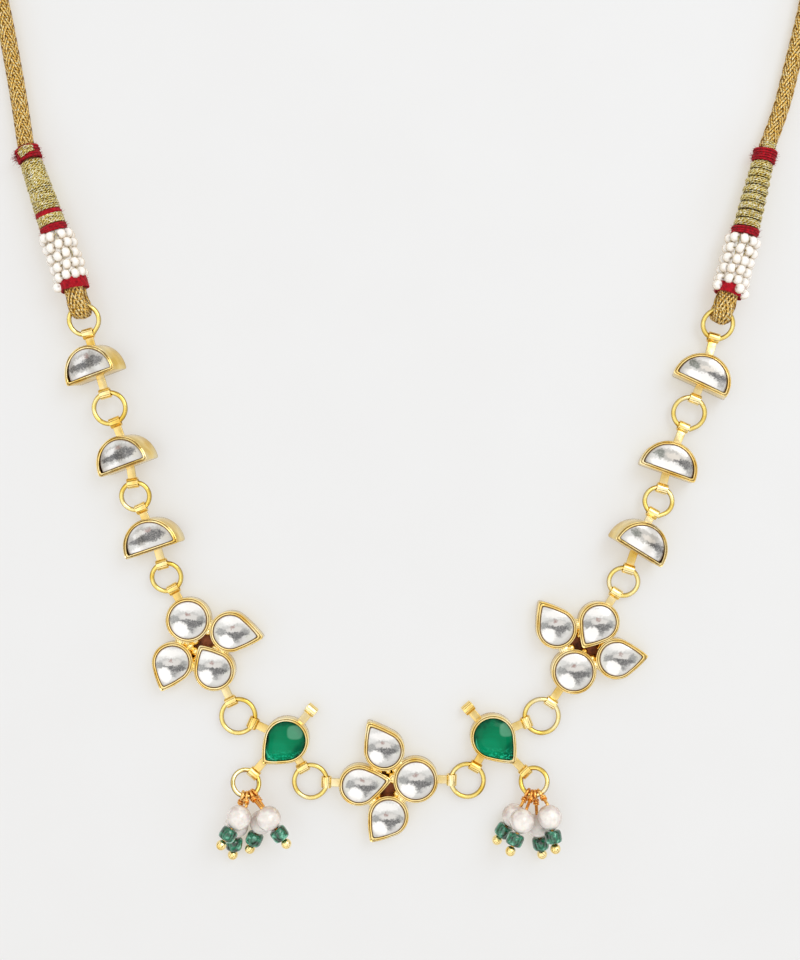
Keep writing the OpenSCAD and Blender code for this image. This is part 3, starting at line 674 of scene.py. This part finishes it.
def loft(bm, loops, shadeAndTarnishLevels=None):
    # draws the first loop, extrudes its edge again and again and sets each new loop in place
    # each loop can carry a level of painted shade with some tarnish
    shadeAndTarnishLayer = shadeAndTarnishLevels and (bm.verts.layers.float.get("paintedShadeAndTarnish") or bm.verts.layers.float.new("paintedShadeAndTarnish"))
    current = [bm.verts.new(p) for p in loops[0]]
    edges = [bm.edges.new(pair) for pair in zip(current, current[1:] + current[:1])]
    bm.faces.new(current)
    for number, loop in enumerate(loops):
        if number:
            made = bmesh.ops.extrude_edge_only(bm, edges=edges)["geom"]
            spots = {tuple(v.co): v for v in made if isinstance(v, bmesh.types.BMVert)}
            current = [spots[tuple(v.co)] for v in current]
            edges = [e for e in made if isinstance(e, bmesh.types.BMEdge) and set(e.verts) <= set(current)]
        for v, p in zip(current, loop):
            v.co = p
            if shadeAndTarnishLevels:
                v[shadeAndTarnishLayer] = shadeAndTarnishLevels[number]
    bm.faces.new(list(reversed(current)))


def cup(bm, outline, high, matrix):
    # inset, height and painted shade (with some tarnish), from the seat under the stone, over the pressed
    # rim, a groove and the outer lip, and down to the back; the shade is darkest at the seat, in the groove
    # and at the foot
    wall = cupSpec["wall"]
    profile = [(wall, high - cupSpec["pocket"], 1), (wall + 0.02, high - 0.3, 1),
               (wall + 0.03, high - 0.1, 0.9), (wall - 0.06, high, 0), (wall - 0.2, high - 0.01, 0),
               (wall - 0.3, high - 0.1, 0.6),
               (wall - 0.36, high - 0.14, 1), (wall - 0.42, high - 0.09, 0.4), (0.13, high - 0.02, 0),
               (0.05, high - 0.08, 0), (0, high - 0.24, 0.3), (0.03, high * 0.5, 0.1), (0, 0.3, 0.3),
               (0.05, 0.08, 0.9), (0.16, 0, 1)]
    loft(bm, [[matrix @ Vector((x, y, z)) for x, y in softened(outline(inset))] for inset, z, _ in profile],
         [shadeAndTarnish for _, _, shadeAndTarnish in profile])


def bail(bm, start, end, height):
    # folded strip from a cup to the ring's wire, with its eye round the wire
    way, reach = atan2(end[1] - start[1], end[0] - start[0]), hypot(end[0] - start[0], end[1] - start[1])
    strip = bmesh.new()
    shadeAndTarnish = strip.verts.layers.float.new("paintedShadeAndTarnish")
    long = reach - eyeSpec["bore"] * 0.9
    for side in (1, -1):
        plate = bmesh.ops.create_cube(strip, size=1)["verts"]
        bmesh.ops.scale(strip, verts=plate, vec=(long, eyeSpec["neck"], eyeSpec["strip"]))
        bmesh.ops.translate(strip, verts=plate, vec=(long / 2, 0, side * eyeSpec["apart"]))
        # the plates carry a little painted shade with some tarnish; the eye carries none
        for v in plate:
            v[shadeAndTarnish] = 0.3
    thick = (eyeSpec["radius"] - eyeSpec["bore"]) / 2
    middle = (eyeSpec["radius"] + eyeSpec["bore"]) / 2
    corners = [strip.verts.new((reach + middle + a * thick, b * eyeSpec["wide"] / 2, 0))
               for a, b in ((-1, -1), (1, -1), (1, 1), (-1, 1))]
    section = [strip.edges.new(pair) for pair in zip(corners, corners[1:] + corners[:1])]
    bmesh.ops.spin(strip, geom=corners + section, cent=(reach, 0, 0), axis=(0, 1, 0), angle=2 * pi, steps=28,
                   use_merge=True)
    sharpEdges = [e for e in strip.edges if len(e.link_faces) == 2 and e.calc_face_angle(0) > radians(40)]
    bmesh.ops.bevel(strip, geom=sharpEdges, offset=0.07, segments=3, profile=0.5, affect="EDGES", material=-1,
                    clamp_overlap=True)
    bmesh.ops.recalc_face_normals(strip, faces=strip.faces)
    strip.transform(Matrix.Translation((start[0], start[1], height)) @ Matrix.Rotation(way, 4, "Z"))
    copyInto(bm, strip)


def solderBlob(bm, x, y, z, wide, high):
    blob = bmesh.ops.create_icosphere(bm, subdivisions=3, radius=1)["verts"]
    bmesh.ops.scale(bm, verts=blob, vec=(wide, wide, high))
    bmesh.ops.translate(bm, verts=blob, vec=(x, y, z))


def ringSlope(ring):
    return asin((ring[3] - ring[4]) / (2 * ring[2]))


def ringMatrix(ring):
    return (Matrix.Translation((ring[0], ring[1], (ring[3] + ring[4]) / 2))
            @ Matrix.Rotation(radians(ring[5]), 4, "Z") @ Matrix.Rotation(ringSlope(ring), 4, "Y"))


def ringEye(ring, start):
    dx, dy = start[0] - ring[0], start[1] - ring[1]
    far = hypot(dx, dy)
    r = (ring[2] - eyeSpec["shift"]) * cos(ringSlope(ring))
    return ring[0] + dx / far * r, ring[1] + dy / far * r


def cupMatrix(c):
    return Matrix.Translation((c[0], c[1], 0)) @ Matrix.Rotation(radians(c[3]), 4, "Z")


def moonMatrix(moon):
    return (Matrix.Translation((moon[0], moon[1], moonZ(moon))) @ Matrix.Rotation(radians(moon[2]), 4, "Z")
            @ Matrix.Rotation(radians(-moon[3]), 4, "Y") @ Matrix.Translation((0, 0, -eyeSpec["height"])))


joins = {"centre": ((1, rings["left"][5]), (2, rings["right"][5])),
         "left": ((0, rings["left"][3]), (3, rings["left"][4])),
         "right": ((1, rings["right"][3]), (2, rings["right"][4]))}
for name, cups in flowers.items():
    bm = bmesh.new()
    for c in cups:
        cup(bm, cupOutline(c), cupSpec["high"], cupMatrix(c))
    middle = (sum(c[0] for c in cups) / 4, sum(c[1] for c in cups) / 4)
    for x, y in solder[name]:
        for inward, wide in ((0, 1.2), (0.3, 0.9)):
            solderBlob(bm, x + (middle[0] - x) * inward, y + (middle[1] - y) * inward,
                       cupSpec["high"] - 1.5 - inward, wide, 1.25)
    for x, y, wide in filled[name]:
        solderBlob(bm, x, y, cupSpec["high"] - 2, wide, 1.3)
    for index, ring in joins[name]:
        start = cups[index][:2]
        bail(bm, start, ringEye(ring, start), eyeSpec["height"])
    finishPiece(name + "_flower_cups", bm, settingGold, name + "_flower")
    bm = bmesh.new()  # the dark back plate seen between the cups
    order = sorted(cups, key=lambda c: atan2(c[1] - middle[1], c[0] - middle[0]))
    plate = bm.faces.new([bm.verts.new((c[0], c[1], 0.02)) for c in order])
    lifted = [v for v in bmesh.ops.extrude_face_region(bm, geom=[plate])["geom"]
              if isinstance(v, bmesh.types.BMVert)]
    bmesh.ops.translate(bm, verts=lifted, vec=(0, 0, cupSpec["plate"]))
    bmesh.ops.bevel(bm, geom=list(bm.edges), offset=0.08, segments=2, profile=0.5, affect="EDGES",
                    material=-1)
    finishPiece(name + "_flower_back", bm, backShade, name + "_flower")

for side in sides:
    for k, moon in enumerate(moons[side]):
        bm = bmesh.new()
        cup(bm, moonOutline, moonSpec["high"], moonMatrix(moon))
        turn = radians(moon[2])
        start = (moon[0] - 1.2 * sin(turn), moon[1] + 1.2 * cos(turn))
        for ring in (rings[side][k], rings[side][k + 1]):
            bail(bm, start, ringEye(ring, start), moonZ(moon))
        finishPiece(f"{side}_half_moon_cup_{k + 1}", bm, settingGold, f"{side}_half_moon_{k + 1}")
    x, y, tip, turn, free = greens[side]
    bm = bmesh.new()
    cup(bm, lambda inset: pearOutline(greenSpec["radius"], tip, inset), greenSpec["high"],
        cupMatrix(greens[side]))
    near = (x + (tip - 1.2) * cos(radians(turn)), y + (tip - 1.2) * sin(radians(turn)))
    _, _, _, _, upper, lower, drop = rings[side]
    for start, end in (((x, y), ringEye(upper, (x, y))), ((x, y), ringEye(lower, (x, y))), ((x, y), free),
                       (near, ringEye(drop, near))):
        bail(bm, start, end, eyeSpec["height"])
    finishPiece(side + "_green_cup", bm, settingGold, side + "_green_setting")
print("settings")


# stones
def stoneFaceCoordinates(piece, centre, reach, rimCount, turn=0.0):
    # each stone carries its own place across its face, in the picture's own upright, where its painted
    # reflection and shade are laid; the third number is 1 on the first rimCount vertices
    layer = piece.data.attributes.new("stoneFace", "FLOAT_VECTOR", "POINT")
    place = np.array([v.co for v in piece.data.vertices]) * 1000
    x, y = (place[:, 0] - centre[0]) / reach, (place[:, 1] - centre[1]) / reach
    c, s = cos(radians(turn)), sin(radians(turn))
    rim = (np.arange(len(place)) < rimCount).astype(float)
    held = np.stack([x * c + y * s, y * c - x * s, rim], 1).astype(np.float32)
    layer.data.foreach_set("vector", held.ravel())


def patch(u, v, middle, size, soft=0.5, corner=2):
    # 1 inside a rounded patch across a stone, 0 outside it
    reachU, reachV = ((way - middle[axis]).math("DIVIDE", size[axis]).math("ABSOLUTE").math("POWER", corner)
                      for axis, way in enumerate((u, v)))
    return (reachU + reachV).spread(1 + soft, 1 - soft, kind="SMOOTHSTEP")


def paintedReflectionGlass(name, patches):
    kit = shade(name, {"Roughness": 0.14, "Metallic": 0.2, "Coat Weight": 0.4, "Coat Roughness": 0.12,
                       "Coat IOR": 1.5})
    stoneFace = kit.axes(kit.attribute("stoneFace"))
    ways = []
    for axis, amount in ((0, 0.20), (1, 0.16)):
        moved = stoneFace[axis]
        for scale, detail, share in ((560, 1, amount), (2300, 3, 0.26)):
            moved += (kit.axes(kit.noise(scale, detail, output="Color"))[axis] - 0.5) * share
        ways.append(moved)
    grain = kit.noise(3600, 3, 0.7).ramp((0.36, 0.45), (0.58, 1))
    # foil tone, with patches of painted reflection laid over it
    tone = (0.64, 0.65, 0.65)
    for middle, size, colour, amount, soft, *corner in patches:
        mask = patch(*ways, middle, size, soft * 1.3, *corner) * amount
        if sum(colour) < 1.0:  # dark reflection patches are broken up by the foil's grain
            mask *= grain
        tone = kit.blend(mask, tone, colour)
    crinkle = kit.noise(1500)
    tone = kit.blend(crinkle * 0.16, tone, (0.66, 0.67, 0.68))
    # painted shadow: a thin brown line round the stone's rim
    kit.paint({"Base Color": kit.blend(stoneFace[2] * 0.9, tone, (0.24, 0.12, 0.03))})
    kit.bump(crinkle, 0.06, 0.0002)
    return kit


# colours of the painted reflections in the stones
pale, dim, murk = (0.94, 0.94, 0.95), (0.62, 0.62, 0.62), (0.26, 0.26, 0.26)
black, rosy = (0.035, 0.035, 0.04), (0.30, 0.17, 0.15)
# each painted reflection patch: middle, half size, colour, amount, softness and, for one, squareness
clearGlass = paintedReflectionGlass("clearGlass", [
    ((-0.80, 0.0), (0.18, 0.60), (0.62, 0.63, 0.58), 0.7, 0.7),
    ((0.80, -0.05), (0.18, 0.55), (0.62, 0.63, 0.58), 0.7, 0.7),
    ((0.02, 0.05), (0.80, 0.30), (0.44, 0.44, 0.44), 0.85, 0.25),
    ((0.10, 0.15), (0.44, 0.15), (0.68, 0.67, 0.66), 0.85, 0.45),
    ((-0.56, 0.03), (0.22, 0.17), (0.20, 0.21, 0.21), 0.9, 0.4, 3),
    ((0.62, 0.0), (0.22, 0.20), (0.20, 0.21, 0.21), 0.9, 0.5),
    ((0.22, -0.12), (0.48, 0.15), black, 1.0, 0.4),
    ((0.26, -0.32), (0.24, 0.24), (0.08, 0.08, 0.085), 0.9, 0.5),
    ((-0.16, -0.03), (0.26, 0.07), black, 0.8, 0.6),
    ((0.0, 0.25), (0.11, 0.08), rosy, 0.9, 0.6),
    ((0.52, -0.50), (0.28, 0.22), dim, 0.8, 0.6),
    ((-0.32, -0.44), (0.34, 0.36), pale, 1.0, 0.35),
    ((0.0, 0.60), (0.62, 0.20), pale, 0.8, 0.6)])
moonGlass = {
    "left": paintedReflectionGlass("leftMoonGlass", [
        ((0.74, 0.02), (0.26, 0.42), (0.60, 0.58, 0.52), 0.85, 0.6),
        ((0.0, 0.10), (0.74, 0.30), (0.40, 0.39, 0.38), 0.9, 0.3),
        ((-0.20, 0.20), (0.34, 0.12), (0.80, 0.80, 0.80), 0.9, 0.4),
        ((0.24, 0.02), (0.46, 0.20), black, 1.0, 0.35),
        ((-0.32, -0.01), (0.42, 0.11), black, 0.95, 0.45),
        ((0.12, 0.26), (0.13, 0.09), rosy, 0.85, 0.6),
        ((-0.38, -0.36), (0.50, 0.13), pale, 1.0, 0.5),
        ((0.20, -0.38), (0.50, 0.09), dim, 0.7, 0.6)]),
    "right": paintedReflectionGlass("rightMoonGlass", [
        ((0.0, 0.36), (0.55, 0.13), (0.80, 0.80, 0.80), 0.8, 0.5),
        ((0.04, 0.15), (0.76, 0.22), (0.46, 0.45, 0.43), 0.9, 0.3),
        ((0.0, 0.14), (0.28, 0.11), (0.72, 0.68, 0.63), 0.9, 0.5),
        ((-0.50, 0.10), (0.20, 0.14), (0.09, 0.11, 0.09), 0.95, 0.45),
        ((0.58, 0.03), (0.30, 0.14), black, 1.0, 0.4),
        ((0.28, 0.01), (0.24, 0.06), black, 0.8, 0.5),
        ((0.72, -0.16), (0.16, 0.14), murk, 0.9, 0.5),
        ((-0.10, -0.26), (0.66, 0.18), pale, 1.0, 0.4)])}
# shares of the rim that the dome's loops stand at, with how far each is dropped
domeLoops = ((1, 0.1), (0.975, 0.02), (0.935, 0), (0.87, 0), (0.78, 0), (0.66, 0), (0.54, 0), (0.4, 0),
             (0.26, 0), (0.12, 0))


def stoneBase(high):
    return high - cupSpec["pocket"] + cupSpec["gap"]


def domedStone(outline, spec, centre, matrix):
    rim = softened(outline(cupSpec["wall"] + cupSpec["gap"]))
    loops = [[matrix @ Vector((x, y, stoneBase(spec["high"]))) for x, y in rim]]
    for share, drop in domeLoops:
        loop = []
        for x, y in rim:
            x, y = centre[0] + (x - centre[0]) * share, centre[1] + (y - centre[1]) * share
            far = hypot(x - centre[0], y - centre[1])
            rise = spec["dome"] - spec["domeRadius"] + sqrt(max(spec["domeRadius"] ** 2 - far ** 2, 0))
            loop.append(matrix @ Vector((x, y, spec["high"] + rise - drop)))
        loops.append(loop)
    bm = bmesh.new()
    loft(bm, loops)
    return bm, 3 * len(rim)


for name, cups in flowers.items():
    for k, c in enumerate(cups):
        bm, rimCount = domedStone(cupOutline(c), cupSpec, (0.8, 0) if c[2] else (0, 0), cupMatrix(c))
        stone = finishPiece(f"{name}_flower_glass_{k + 1}", bm, clearGlass, f"{name}_flower_stone_{k + 1}",
                            sharp=50)
        lean = 0.6 if c[2] else 0
        stoneFaceCoordinates(stone, (c[0] + lean * cos(radians(c[3])), c[1] + lean * sin(radians(c[3]))),
                        cupSpec["pear"] if c[2] else cupSpec["round"], rimCount)
for side in sides:
    for k, moon in enumerate(moons[side]):
        bm, rimCount = domedStone(moonOutline, moonSpec, (0, moonSpec["middle"]), moonMatrix(moon))
        stone = finishPiece(f"{side}_half_moon_glass_{k + 1}", bm, moonGlass[side],
                            f"{side}_half_moon_{k + 1}_stone", sharp=50)
        stoneFaceCoordinates(stone, moonMatrix(moon) @ Vector((0, moonSpec["middle"], moonSpec["high"])),
                        moonSpec["reach"], rimCount, moon[2])

emerald = shade("emerald", {"Roughness": 0.12, "Coat Weight": 0.08, "Coat Roughness": 0.03,
                            "Specular IOR Level": 0.06})
u, v, isLeft = emerald.axes(emerald.attribute("stoneFace"))
far = (u * u + v * v).math("SQRT")
wave = emerald.noise(700, 4, 0.6)
streaks = emerald.node("ShaderNodeMapping", "Vector", {"Vector": emerald.node("ShaderNodeTexCoord", "Object"),
                                                       "Scale": (220, 1700, 500)})
# a thin painted highlight arc along the lower left of the rim
arc = patch(far, v, (0.86, -0.4), (0.035, 0.5)) * patch(u, v, (-0.6, -0.45), (0.6, 0.6), 0.3)
# painted shade: the green darkens from the middle towards the rim
tone = (far + (wave - 0.5) * 0.6).ramp((0.0, (0.0, 0.21, 0.09)), (0.4, (0.0, 0.20, 0.085)),
                                       (0.75, (0.0, 0.165, 0.07)), (1.0, (0.0, 0.06, 0.028)))
for amount, colour in (  # streaks, then painted light and shade: the facet's painted reflection, painted shade on the left edge, painted light in the middle, painted shade in a corner, painted glints and a painted highlight arc
        (emerald.noise(1, place=streaks).ramp((0.42, 0), (0.62, 1)) * 0.15, (0.0, 0.09, 0.035)),
        (patch(u, v, (0.52, 0.50), (0.34, 0.30), 0.45, 3) * 0.5, (0.16, 0.42, 0.28)),
        (patch(u, v, (-0.9, 0.1), (0.26, 0.9)) * (isLeft * 0.95), (0.0, 0.012, 0.008)),
        (patch(u, v, (-0.3, -0.3), (0.5, 0.42), 0.7) * 0.55, (0.0, 0.27, 0.125)),
        (patch(u, v, (0.72, -0.55), (0.34, 0.5)) * 0.45, (0.0, 0.03, 0.02)),
        (v.spread(-0.25, -0.9) * emerald.noise(2400, 3, 0.7).ramp((0.48, 0), (0.62, 1)), (0.02, 0.72, 0.40)),
        (arc * 0.55, (0.06, 0.62, 0.40))):
    tone = emerald.blend(amount, tone, colour)
emerald.paint({"Base Color": tone})
emerald.bump(wave, 0.05, 0.0002)

for side in sides:
    x, y, tip, turn, _ = greens[side]
    rim = pearOutline(greenSpec["radius"], tip, cupSpec["wall"] + cupSpec["gap"], head=12, flank=2)
    high, table = greenSpec["high"], greenSpec["table"]
    bm = bmesh.new()
    loft(bm, [[cupMatrix(greens[side]) @ Vector((px * share, py * share, z)) for px, py in rim]
              for share, z in ((1, stoneBase(high)), (1, high - 0.25), (0.86, high + 0.12),
                               (table + 0.1, high + 0.38), (table - 0.1, high + greenSpec["rise"] - 0.02))])
    stone = finishPiece(side + "_emerald", bm, emerald, side + "_green_stone", sharp=8)
    stoneFaceCoordinates(stone, (x + 0.7 * cos(radians(turn)), y + 0.7 * sin(radians(turn))), greenSpec["reach"],
                    len(stone.data.vertices) if side == "left" else 0)
print("stones")

# rings
ringSpec = {"from": 40, "turn": 322, "corners": 16, "steps": 96, "endLong": 1.3}


def setInRing(bm, verts, r, y, start):
    bmesh.ops.rotate(bm, verts=verts, cent=(0, 0, 0), matrix=Matrix.Rotation(pi / 2, 3, "X"))
    bmesh.ops.translate(bm, verts=verts, vec=(r, y, 0))
    bmesh.ops.rotate(bm, verts=verts, cent=(0, 0, 0), matrix=Matrix.Rotation(start, 3, "Z"))


for side in sides:
    for name, ring in zip(ringNames, rings[side]):
        r, opened, wire = ring[2], ring[6], eyeSpec["wire"]
        start, turn = (radians(ringSpec["from"]), radians(ringSpec["turn"])) if opened else (0, 2 * pi)
        bm = bmesh.new()
        setInRing(bm, bmesh.ops.create_circle(bm, cap_ends=opened, segments=ringSpec["corners"],
                                              radius=wire)["verts"], r, 0, start)
        bmesh.ops.spin(bm, geom=list(bm.verts) + list(bm.edges) + list(bm.faces), cent=(0, 0, 0),
                       axis=(0, 0, 1), angle=turn, steps=ringSpec["steps"], use_merge=not opened)
        if opened:
            end = bmesh.ops.create_cone(bm, cap_ends=True, segments=ringSpec["corners"], radius1=wire,
                                        radius2=wire * 0.96, depth=ringSpec["endLong"])["verts"]
            setInRing(bm, end, r, -ringSpec["endLong"] / 2, start)
        bmesh.ops.remove_doubles(bm, verts=bm.verts, dist=0.0005)
        # painted shade: the wire's lower half darkest, fading to none at its top
        shadeAndTarnish = bm.verts.layers.float.new("paintedShadeAndTarnish")
        for v in bm.verts:
            v[shadeAndTarnish] = 1 - max(0, v.co.z / wire)
        bm.transform(ringMatrix(ring))
        finishPiece(f"{side}_{name}_wire", bm, ringGold, f"{side}_{name}", sharp=40)
print("rings")

# drops
dropSpec = {"pearl": 2.4, "bead": 1.65, "beadLong": 2.5, "ball": 1.0, "drill": 0.32, "loop": 0.82,
            "apart": 0.12, "pin": 0.32, "coil": 0.46, "coilWire": 0.19}
pins = {  # loop angle, x, y, z, way and fall of the straight part
    "left": [(36, -28.4, -5.8, 6.6, 237, -10), (57, -22.6, -5.9, 6.8, 304, 4),
             (76, -24.4, -7.8, 2.45, 246, 9), (20, -29.4, -8.5, 2.45, 262, 9)],
    "right": [(-54, 26.7, -6.3, 7.3, 248, -6), (-15, 32.2, -5.8, 6.4, 280, -5),
              (-38, 30.4, -8.4, 2.45, 278, 9), (-75, 25.6, -6.5, 2.45, 237, 9)]}

pearlShade = shade("pearl", {"Roughness": 0.2, "Coat Weight": 1.0, "Coat Roughness": 0.07,
                             "Subsurface Weight": 0.1, "Subsurface Scale": 0.0006, "Sheen Weight": 0.05,
                             "Sheen Roughness": 0.3, "Sheen Tint": (1, 0.78, 0.86)})
# painted shade: pearls lighter where they face up, darker and warmer towards their undersides
tone = (pearlShade.facingUp() + pearlShade.noise(420) * 0.5).ramp(
    (0.25, (0.46, 0.36, 0.29)), (0.60, (0.66, 0.56, 0.50)), (0.84, (0.68, 0.61, 0.62)),
    (1.0, (0.78, 0.75, 0.73)))
# painted highlights: pale spots scattered over the pearls
pearlHighlights = pearlShade.noise(900, 2).ramp((0.42, 0), (0.62, 1))
pearlShade.paint({"Base Color": pearlShade.blend(pearlHighlights * 0.7, tone, (0.95, 0.93, 0.90))})
pearlShade.bump(pearlShade.noise(800, 2), 0.1, 0.0002)
# random tone, with the palest stop painting glints of highlight
greenShade = speckled("greenBead", 900, 2,
                      [(0.36, (0.0, 0.025, 0.015)), (0.47, (0.001, 0.12, 0.06)), (0.59, (0.008, 0.24, 0.135)),
                       (0.69, (0.25, 0.72, 0.54))],
                      {"Roughness": 0.06, "Coat Weight": 1, "Coat Roughness": 0.03,
                       "Transmission Weight": 0.15, "IOR": 1.5})


def turned(bm, profile, matrix, steps):
    # spins a profile of (radius, height) about Z and sets it in place
    shape = bmesh.new()
    made = [shape.verts.new((r, 0, z)) for r, z in profile]
    line = [shape.edges.new(pair) for pair in zip(made, made[1:])]
    bmesh.ops.spin(shape, geom=made + line, cent=(0, 0, 0), axis=(0, 0, 1), angle=2 * pi, steps=steps,
                   use_merge=True)
    shape.transform(matrix)
    copyInto(bm, shape)


def pinWires(ring, angle, pearl, way, tail):
    # the pin from its ball through the pearl to its loop round the ring, and the coil below the loop
    matrix, a, size = ringMatrix(ring), radians(angle), dropSpec["loop"]
    loop = matrix @ Vector((ring[2] * cos(a), ring[2] * sin(a), 0))
    top = pearl - way * (dropSpec["pearl"] + 0.15)
    neck = (top - loop).normalized()
    flat = matrix.to_3x3() @ Vector((-sin(a), cos(a), 0))
    flat = (flat - neck * flat.dot(neck)).normalized()
    third = flat.cross(neck)
    foot = loop + neck * size
    line = [pearl + way * tail, pearl, top + way * 0.25, top, top.lerp(foot, 0.35), top.lerp(foot, 0.7),
            foot + neck * 0.12]
    line += [loop + neck * size * cos(q) + third * size * sin(q) for q in np.linspace(0.25, 2 * pi - 0.1, 22)]
    points, _ = smoothLine([tuple(p) for p in line], 0.16)
    reach = (top - foot).length
    coils = min(2.2, max(0.8, reach / 0.9))
    q = np.linspace(0, 2 * pi * coils, int(coils * 18))
    share = np.linspace(0.06, min(0.9, 0.06 + coils * 0.42 / max(reach, 0.5)), len(q))
    centre = np.array(foot)[None] + np.array(top - foot)[None] * share[:, None]
    out = np.array(flat)[None] * np.cos(q)[:, None] + np.array(third)[None] * np.sin(q)[:, None]
    return [(points, np.tile(np.array(flat), (len(points), 1)), dropSpec["pin"], dropSpec["pin"]),
            (centre + out * dropSpec["coil"], out, dropSpec["coilWire"], dropSpec["coilWire"])]


r, d = dropSpec["pearl"], dropSpec["drill"]
pearlProfile = ([(d, -r * 0.6), (d, -r * 0.985), (d + 0.06, -r * 0.99)]
                + [(r * cos(a), r * sin(a)) for a in np.linspace(-1.38, 1.38, 30)]
                + [(d + 0.06, r * 0.99), (d, r * 0.985), (d, r * 0.6)])
b, h = dropSpec["bead"], dropSpec["beadLong"] / 2
halfBead = [(0.34, h * 0.55), (0.44, h * 0.86), (0.75, h), (b * 0.74, h * 0.98), (b * 0.92, h * 0.84),
            (b, h * 0.5)]
beadProfile = [(x, -z) for x, z in halfBead] + [(b, 0)] + halfBead[::-1] + [(0.34, -h * 0.55)]
beadAt = r + dropSpec["apart"] + h
ballAt = beadAt + h + dropSpec["apart"] + dropSpec["ball"]
for side in sides:
    wires, pearls, beads, balls = [], bmesh.new(), bmesh.new(), bmesh.new()
    for angle, x, y, z, turn, fall in pins[side]:
        t, f = radians(turn), radians(fall)
        way, pearl = Vector((cos(t) * cos(f), sin(t) * cos(f), -sin(f))), Vector((x, y, z))
        wires += pinWires(rings[side][6], angle, pearl, way, ballAt - 0.3)
        stand = way.to_track_quat("Z", "Y").to_matrix().to_4x4()
        turned(pearls, pearlProfile, Matrix.Translation(pearl) @ stand, 44)
        turned(beads, beadProfile, Matrix.Translation(pearl + way * beadAt) @ stand, 32)
        ball = bmesh.ops.create_uvsphere(balls, u_segments=28, v_segments=18,
                                         radius=dropSpec["ball"])["verts"]
        bmesh.ops.transform(balls, verts=ball, matrix=Matrix.Translation(pearl + way * ballAt) @ stand)
    sweep(side + "_pin_wires", wires, pinCopper, side + "_drop_pins", corners=10)
    finishPiece(side + "_pin_balls", balls, ballGold, side + "_drop_pins", sharp=0)
    for name, bm, kit, node, slot in (("_pearl_drops", pearls, pearlShade, "_pearls", "pearl"),
                                      ("_green_seed_beads", beads, greenShade, "_green_beads", "green_bead")):
        bmesh.ops.remove_doubles(bm, verts=bm.verts, dist=0.0005)
        finishPiece(side + name, bm, kit, side + node, sharp=60)
print("drops")

# barrel
barrelSpec = {"radius": 2.9, "long": 12, "bore": 1.8, "spot": (3, 234, 2.95), "ribs": 9, "pitch": 1.025}
r, h, b = barrelSpec["radius"], barrelSpec["long"] / 2, barrelSpec["bore"]
collar = [(b, h), (r * 0.86, h), (r * 0.97, h - 0.2), (r, h - 0.55), (r * 0.96, h - 0.95),
          (r * 0.86, h - 1.2)]
profile = [(x, -z) for x, z in collar]
for k in range(barrelSpec["ribs"]):
    middle = -h + 1.9 + k * barrelSpec["pitch"]
    profile += [(r * 0.84, middle - 0.5), (r * 0.91, middle - 0.25), (r * 0.93, middle),
                (r * 0.91, middle + 0.25)]
profile += collar[::-1] + [(b, -h)]
bm = bmesh.new()
turned(bm, profile, Matrix.Translation(barrelSpec["spot"]) @ Matrix.Rotation(pi / 2, 4, "Y"), 48)
bmesh.ops.remove_doubles(bm, verts=bm.verts, dist=0.0005)
finishPiece("neck_barrel_turned", bm, ringGold, "neck_barrel", sharp=50)
print("barrel")
